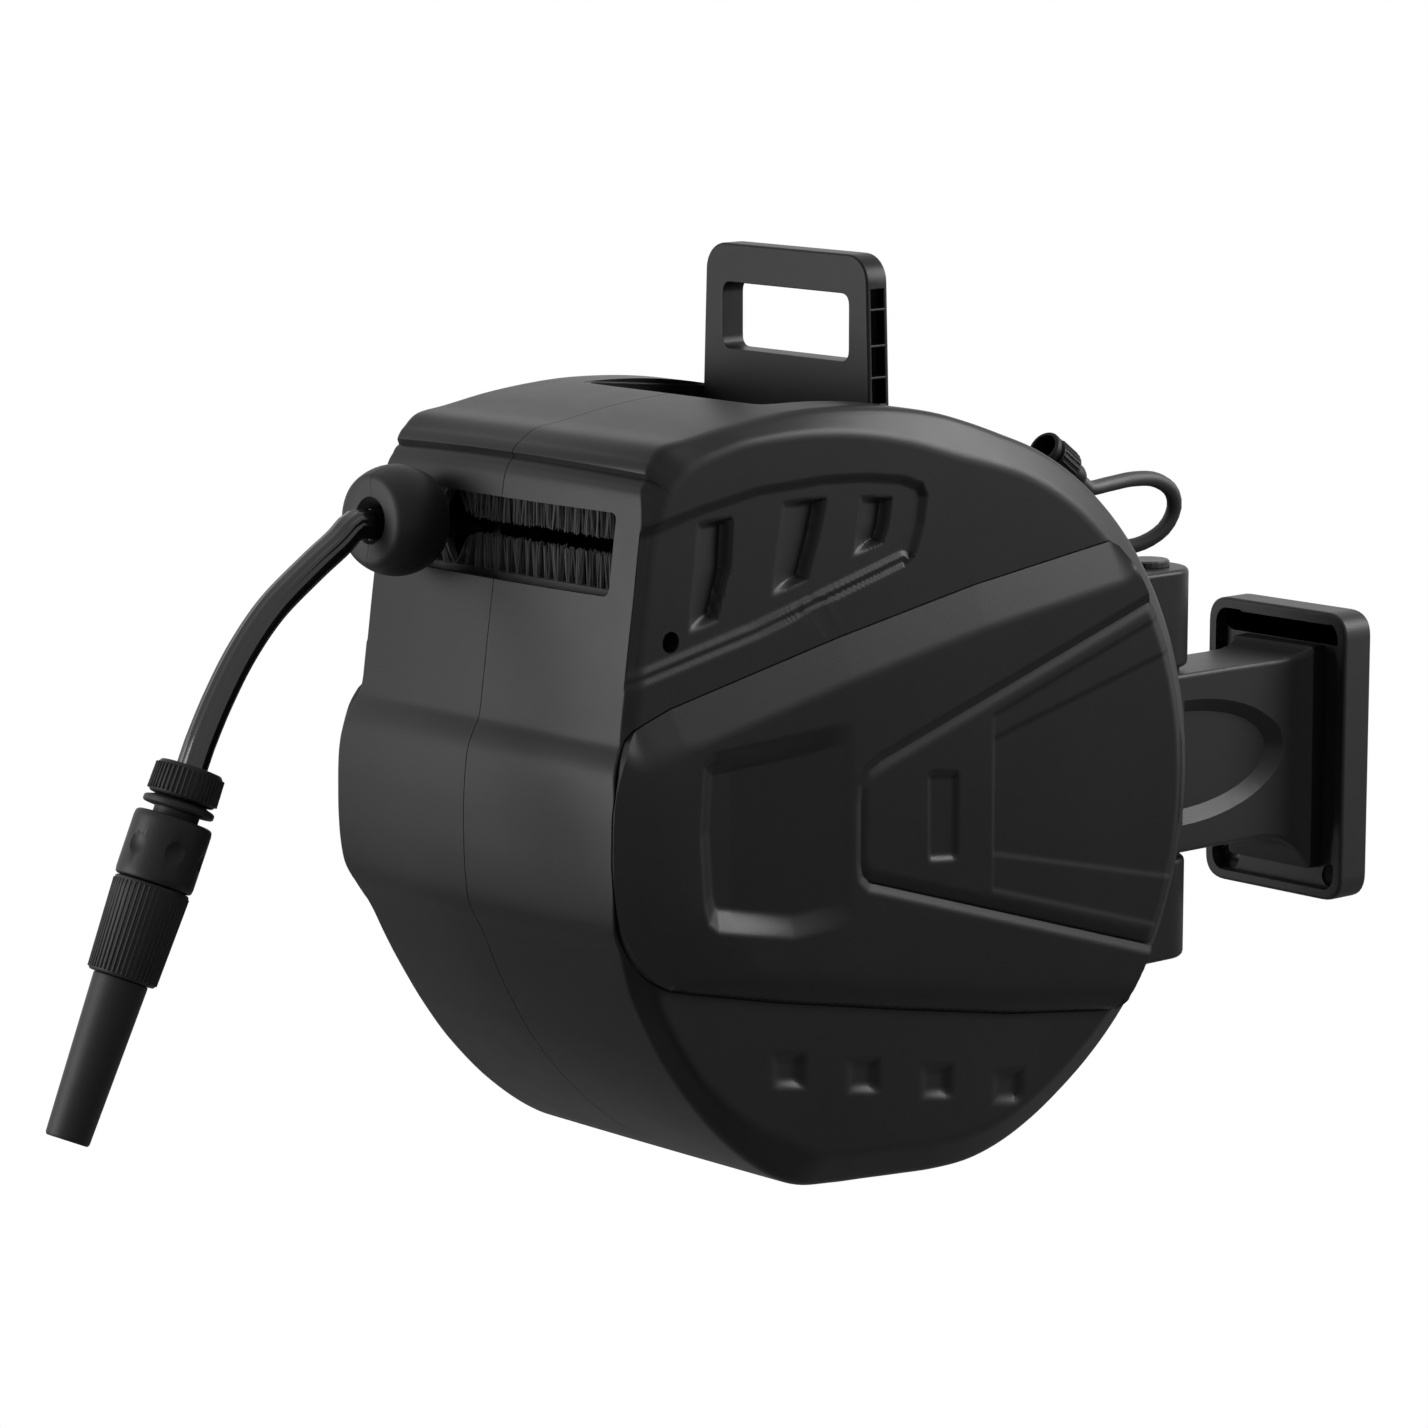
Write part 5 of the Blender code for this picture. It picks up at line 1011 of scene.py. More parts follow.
def casing_shell(side):
    """One half of the casing: a crowned hoop, a rounded shoulder, a wide chamfer and the sculpted side."""
    count = OUTLINE_STEPS
    angles = casing_angles()
    away = np.stack((np.cos(angles), np.sin(angles)), 1)
    centre = np.array(OUTLINE_CENTRE)
    shoulder_line = casing_line(SHOULDER_TOP, CASING_RADIUS, 73.0, -122.0, SHOULDER_FRONT)
    rim_line = casing_line(RIM_TOP, RIM_RADIUS, 76.0, -115.0, RIM_FRONT)
    shoulder = centre + away * outline_radii(shoulder_line, angles)[:, None]
    rim = centre + away * outline_radii(rim_line, angles)[:, None]
    tangent = np.roll(shoulder, -1, 0) - np.roll(shoulder, 1, 0)
    normal = unit(blur_round(unit(np.stack((tangent[:, 1], -tangent[:, 0]), 1)), angles, 0.05))
    frontal = rise(-shoulder[:, 0], 0.560, 0.630) * rise(0.2500 - shoulder[:, 1], 0.0, 0.0200)
    crown = TOP_CROWN + (CROWN - TOP_CROWN) * frontal
    edge_x = front_edge_x(shoulder)
    corner = TOP_CORNER - (TOP_CORNER - FRONT_CORNER) * frontal

    def hoop(share):
        """The row at a share of the half width."""
        bulge = crown * (1 - share**2)
        return np.column_stack((edge_x * share, shoulder + normal * bulge[:, None]))

    def sunk(row, share=1.0):
        """The row with the side's details pressed in to a share of their depth."""
        return np.column_stack((row[:, 0] - share * side_depth(row[:, 1:]), row[:, 1:]))

    edge = np.column_stack((edge_x, shoulder))
    face = np.column_stack((np.full(count, FACE_X), rim))
    length = np.linalg.norm(face - edge, axis=1, keepdims=True)
    chamfer = (face - edge) / length
    edge_end = edge + chamfer * np.minimum(corner[:, None], length * 0.42)
    face_start = face - chamfer * np.minimum(RIM_CORNER, length * 0.42)
    inwards = np.column_stack((np.zeros(count), centre - rim))
    reach = np.linalg.norm(inwards, axis=1, keepdims=True)
    inwards /= reach
    face_end = face + inwards * RIM_INSET
    seam = SEAM_HALF / SHOULDER_X
    rows = [hoop(share - corner / SHOULDER_X * share**8) for share in np.linspace(seam, 1.0, 16)]
    edge_start = hoop(1 - corner / SHOULDER_X)
    rows += [sunk(bend(edge_start, edge, edge_end, t), 0.6) for t in (0.25, 0.5, 0.75, 1.0)]
    rows += [sunk(edge_end + (face_start - edge_end) * t, 0.8) for t in (0.33, 0.66)]
    rows += [sunk(bend(face_start, face, face_end, t)) for t in (0.0, 0.25, 0.5, 0.75, 1.0)]
    shares = np.concatenate((np.linspace(0, 0.44, 92)[1:], np.linspace(0.44, 0.97, 8)[1:]))
    rows += [sunk(face_end + inwards * (reach - RIM_INSET) * share) for share in shares]
    inside = np.column_stack((np.zeros(count), away * HOOP_WALL))
    inner = [hoop(share) - inside for share in (seam, 0.35, 0.7, 0.96)]
    border = rim - away * (2 * HOOP_WALL)
    for share in np.linspace(1.0, 0.3, 15):
        ring = centre + (border - centre) * share
        sink = LOUVRE_SINK * rise(depth_inside(ring, LOUVRE), -0.020, -0.007)
        inner.append(np.column_stack((FACE_X - FACE_WALL - sink, ring)))

    outer_last = (len(rows) - 1) * count
    inner_first = len(rows) * count
    inner_last = inner_first + (len(inner) - 1) * count
    points = np.vstack((*rows, *inner, (FACE_X, *centre), (FACE_X - FACE_WALL, *centre)))
    tip = len(points) - 2
    faces = []
    for start in range(0, outer_last, count):
        faces += ring_quads(start, start + count, count)
    for start in range(inner_first, inner_last, count):
        faces += ring_quads(start + count, start, count)
    faces += ring_quads(inner_first, 0, count)
    faces += [(outer_last + i, outer_last + (i + 1) % count, tip) for i in range(count)]
    faces += [(inner_last + (i + 1) % count, inner_last + i, tip + 1) for i in range(count)]
    points[:, 0] *= side
    return add_mesh("casing_shell_right" if side > 0 else "casing_shell_left", points, faces)


def top_height(ring):
    """Height of the casing's top over (X, Y) points."""
    base = 0.259 - 1.17 * (ring[:, 1] + 0.512) ** 2
    return base + TOP_CROWN * (1 - (ring[:, 0] / SHOULDER_X) ** 2)


def recess_ring(grow):
    """The rounded plan of the handle's recess as (X, Y), moved outwards."""
    ring = rounded_box((-RECESS_X, RECESS_Y[0]), (RECESS_X, RECESS_Y[1]), 0.008)
    return ring + np.sign(ring - ring.mean(0)) * grow


def recess_tub():
    """The sunk tub that the carrying handle folds into."""
    rings = [(0.0028, RECESS_FLOOR - 0.003)]
    rings += [(grow, top_height(recess_ring(grow)) - drop) for grow, drop in TUB_RIM]
    rings += [(grow, RECESS_FLOOR + rest) for grow, rest in ((0.0, 0.004), (-0.0012, 0.0011), (-0.0040, 0.0))]
    return loft("recess_tub", [np.insert(recess_ring(grow), 2, height, axis=1) for grow, height in rings])


def make_casing(look):
    """Both shells with their openings, the ears and the recess tub."""
    plastic = housing_plastic(look, "casing")
    window = rounded_box((WINDOW_Z[0], -WINDOW_HALF_X), (WINDOW_Z[1], WINDOW_HALF_X), 0.0045)
    for side, end in ((1, "right"), (-1, "left")):
        tools = [
            prism("window_tool", window, -0.70, -0.61, "Y"),
            prism("recess_tool", recess_ring(0.0029), 0.2300, 0.300, "Z"),
            prism("seam_tool", band_polygon(0.0007, True), *sorted((side * 0.1108, side * 0.130)), "X"),
        ]
        if side > 0:
            for place in SCREW_PLACES:
                tools.append(rod("screw_tool", SCREW_HOLE, 0, 0.02, along("X", 0.0970, *place)))
        shell = boolean(casing_shell(side), tools, solver="MANIFOLD")
        tidy_mesh(shell)
        finish_piece(shell, "casing", plastic, (f"casing_{end}",), 34, True)
    finish_piece(recess_tub(), "casing", plastic, (), 38, True)
    make_ears(plastic)


def make_ears(plastic):
    """The two hinge ears on the back of the casing."""
    arc = circle_arc((0.0, PIVOT_Y), EAR_RADIUS, -62, 242, 32)
    arc = arc[arc[:, 1] > PIVOT_Y - 0.0060]
    outline = np.vstack(((EAR_RADIUS, EAR_ROOT_Y), arc, (-EAR_RADIUS, EAR_ROOT_Y)))
    for name, low, high in EARS:
        bore = rod("ear_bore", PIVOT_HOLE, low - 0.01, high + 0.01, along("Z", y=PIVOT_Y))
        ear = boolean(prism(name, outline, low, high, "Z", 0.003), [bore])
        finish_piece(ear, "casing", plastic, (), 38, True)


# Side bands and covers
def nose_line():
    """The band's front edge, from its lower edge to its upper one."""
    return np.vstack((BAND_BOTTOM[-1], smooth_open(BAND_NOSE, 6), BAND_TOP[0]))


def band_polygon(grow=0.0, whole=False):
    """The band's outline. The whole one fills in the cover; grow moves it outwards."""
    front = circle_arc(DRUM, SEAT_RADIUS, 30.5, -29.5, 14) if whole else COVER_FRONT
    polygon = np.vstack(
        (smooth_open(BAND_NOSE, 6), BAND_TOP, BAND_REAR_TOP, front, BAND_REAR_LOW, BAND_BOTTOM)
    )
    ahead = np.roll(polygon, -1, 0) - np.roll(polygon, 1, 0)
    outwards = unit(np.stack((ahead[:, 1], -ahead[:, 0]), 1)) * np.sign(signed_area(polygon))
    return polygon + outwards * grow


def band_surface(points):
    """X of the band's outer face."""
    top, _ = nearest_on(points, BAND_TOP, False)
    nose, _ = nearest_on(points, nose_line(), False)
    low, _ = nearest_on(points, BAND_BOTTOM + BAND_NOSE[:1], False)
    cover, _ = nearest_on(points, COVER_FRONT, False)
    rear = SEAT_RADIUS - np.linalg.norm(points - np.array(DRUM), axis=1)
    rear[points[:, 0] < DRUM[0]] = 1.0
    full = BAND_X - BAND_EDGE_X
    slope = BAND_EDGE_X + full * ramp(top, 0.0, 0.0255)
    under = BAND_EDGE_X + full * np.sqrt(np.clip(1 - (1 - ramp(low, 0.0, 0.0230)) ** 2, 0, 1))
    round_nose = NOSE_X + NOSE_RISE * ramp(nose, 0.0, 0.0440)
    back = BAND_REAR_X + (BAND_X - BAND_REAR_X) * ramp(rear, 0.0, 0.0035)
    x = np.full(len(points), BAND_X)
    for face, blend in ((slope, 0.0012), (under, 0.0010), (round_nose, 0.0012), (back, 0.0008)):
        x = soft_least(x, face, blend)
    x = np.minimum(x, SEAT_X + SEAT_RISE * rise(cover, -0.004, 0.0095))
    inside = depth_inside(points, POCKET)
    wall = 0.3 * rise(inside, 0.0, 0.0125) + 0.7 * ramp(inside, 0.0, 0.0125)
    return x - POCKET_DEPTH * ramp(-0.495 - points[:, 0], 0.0, 0.085) * wall


def band_base(points):
    """X of the band's back: on the side face, and round the corner at the nose."""
    nose, _ = nearest_on(points, nose_line(), False)
    return BAND_BACK_X - NOSE_SINK * (1 - ramp(nose, 0.0, 0.0120))


def cover_surface(points):
    """X of the cover's outer face, with its two nested frames."""
    front, _ = nearest_on(points, COVER_FRONT, False)
    rear = COVER_RADIUS - np.linalg.norm(points - np.array(DRUM), axis=1)
    x = COVER_EDGE_X + (COVER_X - COVER_EDGE_X) * rise(front, 0.0, 0.0085)
    x = soft_least(x, COVER_REAR_X + (COVER_X - COVER_REAR_X) * ramp(rear, 0.0, 0.0070), 0.0006)
    for label, edge in ((LABEL_OUTER, 0.0018), (LABEL_INNER, 0.0022)):
        x = x - LABEL_DEPTH * rise(depth_inside(points, label), 0.0, edge)
    return x


def right_cover_surface(points):
    """X of the right cover's outer face, which has a finger groove too."""
    inside = depth_inside(points, rounded_outline(GROOVE, 0.004))
    return cover_surface(points) - GROOVE_DEPTH * rise(inside, 0.0, 0.0035)


def cover_base(points):
    """X of the cover's flat back."""
    return np.full(len(points), COVER_BACK_X)


def make_side_panels(look):
    """The raised side bands and the covers set into them."""
    plastic = housing_plastic(look, "cover")
    ahead = np.gradient(np.array(COVER_FRONT), axis=0)
    inset = COVER_FRONT + unit(np.stack((-ahead[:, 1], ahead[:, 0]), 1)) * COVER_GAP
    outline = np.vstack((inset, circle_arc(DRUM, COVER_RADIUS, -29.2, 30.2, 14)))
    sides = ((1, "right", right_cover_surface, None), (-1, "left", cover_surface, (*DRUM, INLET_HOLE)))
    for side, end, surface, hole in sides:
        band = height_sheet(f"band_{end}", band_polygon(), band_surface, band_base, side, 0.0013)
        finish_piece(band, "casing", plastic, (f"side_band_{end}",), 50)
        cover = height_sheet(f"cover_{end}", outline, surface, cover_base, side, 0.0014, hole)
        finish_piece(cover, "casing", plastic, (f"side_cover_{end}",), 50)


# Brushes
def make_brush(name, material, side, tufts, strands):
    """Tufts of nylon strands in the window, by Geometry Nodes. Side 1 hangs from the top edge."""
    tree = GeometryTree(f"{name}_tufts")
    tuft_count = tree.input("Tufts", tufts, "Int")
    per_tuft = tree.input("Strands per Tuft", strands, "Int")
    half = tree.input("Half Width", WINDOW_HALF_X)
    size = tree.input("Strand Length", STRAND_LENGTH)
    thick = tree.input("Strand Radius", STRAND_RADIUS)
    seed = tree.input("Seed", 7 if side > 0 else 11, "Int")

    def chance(offset, low, high):
        """A random number for each strand."""
        settings = {"data_type": "FLOAT"}
        return tree.value("FunctionNodeRandomValue", settings, 1, i2=low, i3=high, Seed=seed + offset)

    index = tree.value("GeometryNodeInputIndex")
    tuft = (index / per_tuft).math("FLOOR")
    pitch = half * 2.0 / tuft_count
    spread = chance(1.0, -1.0, 1.0)
    x = (tuft + 0.5) * pitch - half + spread * 0.0021
    away = x - GUIDE_X
    near = (away * away * (-1 / PARTING**2)).math("POWER", 2.71828, True)
    part = away.math("SIGN") * (near * 0.55)
    y = chance(2.0, -0.0030, 0.0030) + BRUSH_Y
    strand = tree.value(
        "GeometryNodeMeshCone",
        {"fill_type": "NGON"},
        Vertices=5,
        Side_Segments=1,
        Radius_Top=thick * 0.55,
        Radius_Bottom=thick,
        Depth=size,
    )
    lean = spread * 0.055 + chance(3.0, -0.06, 0.06) + part
    tip = chance(4.0, -0.10, 0.10) + (math.pi if side > 0 else 0.0)
    grown = tree.copies(
        tuft_count * per_tuft,
        tree.vector(x, y, BRUSH_Z + side * 0.0240),
        strand,
        Rotation=tree.vector(tip, lean * float(-side)),
        Scale=tree.vector(1.0, 1.0, chance(5.0, 0.90, 1.0)),
    )
    # Painted highlight and shade: the strands a little towards -X of each tuft's middle are made lightest and
    # those towards +X darkest, standing in for light falling on one side of the tuft. The random share mixed
    # in below is each strand's own tone.
    tuft_highlight = 1.0 - (spread + 0.35).math("ABSOLUTE")
    settings = {"data_type": "FLOAT", "domain": "INSTANCE"}
    stored = tree.add("GeometryNodeStoreNamedAttribute", settings, Geometry=grown, Name="strand_shade")
    slot = next(s for s in stored.inputs if s.name == "Value" and s.enabled)
    tree.feed(slot, chance(6.0, 0.0, 1.0) * 0.4 + tuft_highlight * 0.6)
    return tree.run(new_object(name, bpy.data.meshes.new(name)), stored.outputs[0], material)


def make_brushes(look):
    """Both brush strips and the backings that hold them."""
    nylon = bristle("bristle_nylon", look.bristle_colour, 0.5)
    strip = moulded("strip_plastic", look.bristle_colour, 0.6, 0.2)
    half = WINDOW_HALF_X + 0.002
    for name, side in (("upper", 1), ("lower", -1)):
        tufts = make_brush(f"bristles_{name}", nylon, side, look.tufts, look.strands_per_tuft)
        finish_piece(tufts, "casing", nylon, (f"brush_{name}",))
        low, high = sorted((BRUSH_Z + side * 0.0228, BRUSH_Z + side * 0.0295))
        corners = (-half, BRUSH_Y - 0.004, low), (half, BRUSH_Y + 0.004, high)
        back = block(f"brush_back_{name}", *corners, 0.0008, 2)
        finish_piece(back, "casing", strip)


# Handle
def handle_outline():
    """The handle frame's outline as (Z, X)."""
    base = HANDLE_AXIS[1]
    middle = np.array((HANDLE_TOP, HANDLE_HALF_TOP)) - HANDLE_CORNER
    half = [(base - 0.008 * math.sin(t), HANDLE_HALF_BASE - 0.0001 * t) for t in (1.2, 0.6)]
    half = np.vstack((half, (base, HANDLE_HALF_BASE), circle_arc(middle, HANDLE_CORNER, 90, 0, 8)))
    return np.vstack((half, half[::-1] * (1, -1)))


def make_handle(look):
    """The folding carrying handle, an I-section frame with ribs in its side channels."""
    middle = HANDLE_AXIS[0]
    handle = prism("handle_frame", handle_outline(), middle - 0.008, middle + 0.008, "Y", 0.0016)
    grip = rounded_box((0.2745, -0.0520), (0.3120, 0.0520), 0.0065)
    tools = [
        prism("grip_tool", grip, middle - 0.02, middle + 0.02, "Y"),
        rod("pin_tool", 0.0043, -0.09, 0.09, along("X", 0, *HANDLE_AXIS), 24),
    ]
    for side in (-1, 1):
        inner, outer = sorted((side * 0.0602, side * 0.08))
        for low, high in CHANNELS:
            corners = (inner, middle - 0.005, low), (outer, middle + 0.005, high)
            tools.append(block("channel_tool", *corners))
    handle = bevel(boolean(handle, tools), 0.0007, 2, 40)
    plastic = housing_plastic(look, "handle")
    finish_piece(handle, "handle", plastic, ("carry_handle",), 40, True)


# Bracket
def make_bracket(look):
    """The wall plate with its tray, and the arm with the dished sides."""
    plastic = housing_plastic(look, "bracket")
    half_x, half_z = PLATE_HALF
    outline = rounded_box((-half_z, -half_x), (half_z, half_x), 0.016, 8)
    plate = prism("plate_tray", outline, -PLATE_DEPTH, 0.0, "Y", 0.0022, 4)
    half_x, half_z = half_x - TRAY_WALL, half_z - TRAY_WALL
    tray = rounded_box((-half_z, -half_x), (half_z, half_x), 0.011, 8)
    tools = [prism("tray_tool", tray, -0.04, TRAY_FLOOR_Y, "Y")]
    profile = ((0, -0.03), (0.0075, -0.03), (0.0075, -0.0135), (0.004, -0.0115), (0.004, 0.01), (0, 0.01))
    for x in (-PLATE_HOLES[0], PLATE_HOLES[0]):
        for z in (-PLATE_HOLES[1], PLATE_HOLES[1]):
            turn = Matrix.Translation((x, 0, z)) @ Matrix.Rotation(-math.pi / 2, 4, "X")
            tools.append(lathe("hole_tool", profile, turn, 24))
    plate = bevel(boolean(plate, tools), 0.0008, 2, 40)
    finish_piece(plate, "bracket", plastic, ("wall_plate",), 40, True)
    make_arm(plastic)


def dish_tool(side):
    """What presses the D-shaped dish into one side of the arm."""
    t = np.linspace(0, math.pi, 25)
    rings = []
    for inset, x in ((-0.0050, 0.0300), (0.0, 0.0262), (0.0085, 0.0196)):
        y = DISH_FLAT[0] + np.append((DISH_REACH - inset) * np.sin(t), inset * 0.2)
        z = DISH_FLAT[1] + np.append((DISH_HALF - inset) * np.cos(t), 0.0)
        rings.append(np.column_stack((np.full(len(y), side * x), y, z)))
    return loft("dish_tool", rings)


def make_arm(plastic):
    """The arm: a lofted beam that flares into its pad, with a dished D on each side and a round knuckle."""
    sections = []
    for y, half, low, high, corner in ARM_SECTIONS:
        ring = rounded_box((-half, low), (half, high), corner, 4)
        sections.append(np.insert(ring, 1, y, axis=1))
    low, high = ARM_Z
    pivot = along("Z", y=PIVOT_Y)
    knuckle = fillet(((0, low), (ARM_HALF, low), (ARM_HALF, high), (0, high)), 0.003)
    arm = boolean(loft("bracket_beam", sections), [lathe("knuckle", knuckle, pivot)], "UNION")
    tools = [dish_tool(-1), dish_tool(1), rod("bore_tool", PIVOT_HOLE, -0.06, 0.075, pivot)]
    arm = bevel(boolean(arm, tools), 0.0009, 2, 30)
    finish_piece(arm, "bracket", plastic, ("bracket_arm",), 28, True)


# Hose line
def lead_tangent():
    """The angle at which the hose leaves the winding for the casing's window."""
    across = (EXIT[0] - DRUM[0], EXIT[1] - DRUM[1])
    return math.degrees(math.atan2(across[1], across[0]) - math.acos(LEAD_RADIUS / math.hypot(*across)))


def hose_slope():
    """How steeply the hose climbs towards the window."""
    start = polar(LEAD_RADIUS, lead_tangent())
    return math.atan2(EXIT[1] - start[1], start[0] - EXIT[0])


OUTWARDS = Vector((0, -math.cos(hose_slope()), math.sin(hose_slope())))
STOP_CENTRE = Vector((GUIDE_X, STOP_Y, EXIT[1] + (EXIT[0] - STOP_Y) * math.tan(hose_slope())))
MOUTH = STOP_CENTRE + OUTWARDS * STOP_HALF
DOWN = Vector((0, -math.sin(NOZZLE_TILT), -math.cos(NOZZLE_TILT)))


def frame_along(place, direction):
    """A frame at a place whose Z runs in a direction."""
    return Matrix.Translation(place) @ Vector(direction).to_track_quat("Z", "Y").to_matrix().to_4x4()


def smooth_route(route, spacing):
    """Even points of a smooth curve through the route; its first and last stretch stay straight."""
    points = [Vector(p) for p in route]
    dense = []
    for i in range(len(points) - 3):
        dense += [catmull_rom(*points[i : i + 4], k / 16) for k in range(16)]
    dense.append(points[-2])
    lengths = [(q - p).length for p, q in zip(dense, dense[1:])]
    count = max(2, round(sum(lengths) / spacing))
    step = sum(lengths) / count
    even = [dense[0]]
    walked = 0.0
    for p, q, length in zip(dense, dense[1:], lengths):
        while walked + length >= step * len(even) - 1e-9 and len(even) < count:
            even.append(p.lerp(q, (step * len(even) - walked) / length))
        walked += length
    return [points[0], *even, dense[-1], points[-1]]


def outgoing_route():
    """The hose from the stop's mouth down to the nozzle."""
    first = MOUTH + OUTWARDS * GAP
    route = [first, first + OUTWARDS * 0.009]
    route += [Vector((GUIDE_X, y, z)) for y, z in HOSE_ROUTE]
    route += [NOZZLE_START - DOWN * (0.012 + GAP), NOZZLE_START - DOWN * GAP]
    return smooth_route(route, 0.004)


def make_outgoing_hose(look):
    """The hose from the stop to the nozzle, with the connector and nozzle on it."""
    path = outgoing_route()
    hose = tube_mesh("outgoing_hose", path, HOSE_RADIUS, 48, 0.0007, 12)
    finish_piece(hose, "guide", hose_rubber(look), ("hose_tail",), 60)
    pieces = make_nozzle(look)


def turned(name, profile, corner=0.0007, steps=96):
    """A turned piece about Z with rounded corners."""
    return lathe(name, fillet(profile, corner), steps=steps)


def dimpled(sleeve):
    """The sleeve with six round finger dimples."""
    tools = []
    for k in range(6):
        angle = math.tau * (k + 0.35) / 6
        ball = bmesh.new()
        bmesh.ops.create_uvsphere(ball, u_segments=32, v_segments=20, radius=0.0112)
        mesh = bpy.data.meshes.new("dimple_tool")
        ball.to_mesh(mesh)
        ball.free()
        mesh.transform(Matrix.Translation((0.0305 * math.cos(angle), 0.0305 * math.sin(angle), 0.0470)))
        tools.append(new_object("dimple_tool", mesh))
    return boolean(sleeve, tools)


def make_nozzle(look):
    """Ribbed nut, connector body, dimpled sleeve, ribbed collar and plain tube, all on one line."""
    plastic = connector_plastic(look)
    nut = (
        (0, 0.0060), (0.0093, 0.0060), (0.0093, 0.0180), (0.0172, 0.0180), (0.0184, 0.0165),
        (0.0186, 0.0130), (0.0182, 0.0025), (0.0165, 0.0), (0, 0),
    )
    body = (
        (0, 0.0647), (0.0125, 0.0647), (0.0125, 0.0244), (0.0187, 0.0239), (0.0195, 0.0231),
        (0.0195, 0.0208), (0.0185, 0.0200), (0.0150, 0.0190), (0.0140, 0.0183), (0.0090, 0.0183),
        (0.0090, 0.0063), (0, 0.0063),
    )
    sleeve = (
        (0.0128, 0.0286), (0.0195, 0.0286), (0.0209, 0.0296), (0.02135, 0.0320), (0.02135, 0.0615),
        (0.0209, 0.0640), (0.0200, 0.0647), (0.0128, 0.0647), (0.0128, 0.0286),
    )
    collar = (
        (0, 0.0653), (0.0195, 0.0653), (0.0203, 0.0660), (0.0204, 0.0715), (0.0184, 0.1160),
        (0.0176, 0.1172), (0, 0.1172),
    )
    pipe = (
        (0, 0.1175), (0.0149, 0.1175), (0.0149, 0.1195), (0.0121, 0.2052), (0.0113, 0.2066),
        (0.0082, 0.2066), (0.0070, 0.2040), (0.0070, 0.1276), (0, 0.1276),
    )
    nut = ribbed(turned("ribbed_nut", nut), plastic, 44, (0.0182, 0.0186), (0.0022, 0.0165), 0.0012, 0.0016)
    body = turned("quick_connector", body, 0.0004)
    sleeve = dimpled(turned("sliding_sleeve", sleeve, 0.0006))
    collar = turned("grip_collar", collar)
    collar = ribbed(collar, plastic, 46, (0.0202, 0.0184), (0.0672, 0.1158), 0.0013, 0.0015)
    pipe = turned("nozzle_pipe", pipe)
    pieces = (nut, body, sleeve, collar, pipe)
    nodes = ("connector_nut", "connector_body", "coupler_sleeve", "nozzle_collar", "nozzle_tube")
    bodies = ("guide", "guide", "sleeve", "nozzle", "nozzle")
    for obj, node, body_name in zip(pieces, nodes, bodies):
        place_mesh(obj, frame_along(NOZZLE_START, DOWN))
        finish_piece(obj, body_name, plastic, (node,), 34)
    return list(pieces)


def make_hose_stop(look):
    """The two halves of the stop ball on the hose."""
    plastic = connector_plastic(look, "stop_plastic")
    limit = math.asin(STOP_HALF / STOP_BALL)
    ball = [(STOP_BALL * math.cos(t), STOP_BALL * math.sin(t)) for t in np.linspace(-limit, limit, 25)]
    edge = ball[0][0]
    profile = [(STOP_BORE, -STOP_HALF), (edge - 0.003, -STOP_HALF), *ball[1:-1]]
    profile += [(edge - 0.0020, STOP_HALF - 0.0004), (0.0130, STOP_HALF - 0.0012)]
    profile += [(0.0105, STOP_HALF - 0.0050), (STOP_BORE, STOP_HALF - 0.0090)]
    place = frame_along(STOP_CENTRE + Vector((0, 0, STOP_LIFT)), OUTWARDS)
    for end, start in (("left", 90.35), ("right", -89.65)):
        piece = lathe(f"stop_{end}", profile, place, 48, start, 179.3, True)
        finish_piece(piece, "guide", plastic, (f"hose_stop_{end}",), 40)


def make_hose_lead(look):
    """The stretch of hose from the winding through the guide and the brushes into the stop."""
    points = [(GUIDE_X, *polar(LEAD_RADIUS, a)) for a in np.linspace(40.0, lead_tangent(), 24)]
    points += [(GUIDE_X, *EXIT), tuple(MOUTH - OUTWARDS * 0.001)]
    dense = []
    for p, q in zip(points, points[1:]):
        steps = max(1, round((Vector(q) - Vector(p)).length / 0.006))
        dense += [Vector(p).lerp(Vector(q), k / steps) for k in range(steps)]
    dense.append(Vector(points[-1]))
    lead = tube_mesh("hose_to_stop", dense, HOSE_RADIUS, 32)
    finish_piece(lead, "guide", hose_rubber(look), ("hose_lead",), 60)


def make_wound_hose(look):
    """The winding on the drum: two layers of turns, each laid beside the last."""
    path = []
    for way, radius in zip((-1, 1), WINDING_LAYERS):
        for turn in np.arange(WINDING_TURNS * 40 + 1) / 40:
            x = way * (WINDING_X - WINDING_PITCH * min(turn, WINDING_TURNS - 0.75))
            path.append((x, *polar(radius, 360 * turn)))
    hose = tube_mesh("wound_hose", path, HOSE_RADIUS - 0.0002, 12)
    finish_piece(hose, "drum", hose_rubber(look), ("hose_on_drum",), 60)


# Feed hose
def coil_points(per_turn=48):
    """The feed hose's turns: inwards in the first layer, a climb, and outwards again in the second."""
    turns, inner, step, layer, first_x = 2, 0.046, 0.0097, 0.0095, -0.1254
    drop = inner + step * (turns / 2 - 0.5)
    centre = (DRUM[0], DRUM[1] + INLET_RADIUS + GAP + FEED_RADIUS - drop)
    outer = inner + step * turns / 2
    points = []
    for i in range(turns * per_turn + 1):
        turn = i / per_turn
        radius = outer - step * (turn if turn < turns / 2 else turns - turn)
        climb = min(max((turn - turns / 2 + 0.25) / 0.5, 0.0), 1.0)
        points.append(Vector((first_x - layer * climb, *polar(radius, -90.0 + 360.0 * turn, centre))))
    return points


def feed_route():
    """The whole feed hose: from the inlet's spigot, round the coil and on to the tap connector."""
    coil = coil_points()
    first = Vector((INLET_X, DRUM[0] - INLET_RADIUS - SPIGOT_LENGTH - GAP, DRUM[1]))
    heading = (coil[1] - coil[0]).normalized()
    route = [first, first + Vector((0, -FEED_RADIUS * 3, 0)), *FEED_IN_ROUTE]
    route += [coil[0] - heading * (0.012 + GAP), coil[0] - heading * GAP]
    points = smooth_route(route, 0.006) + coil[:-1]
    heading = (coil[-1] - coil[-2]).normalized()
    route = [coil[-1] + heading * GAP, coil[-1] + heading * 0.012, *FEED_OUT_ROUTE]
    route += [TAP_END - TAP_DIRECTION * (0.010 + GAP), TAP_END - TAP_DIRECTION * GAP]
    return points + smooth_route(route, 0.005)


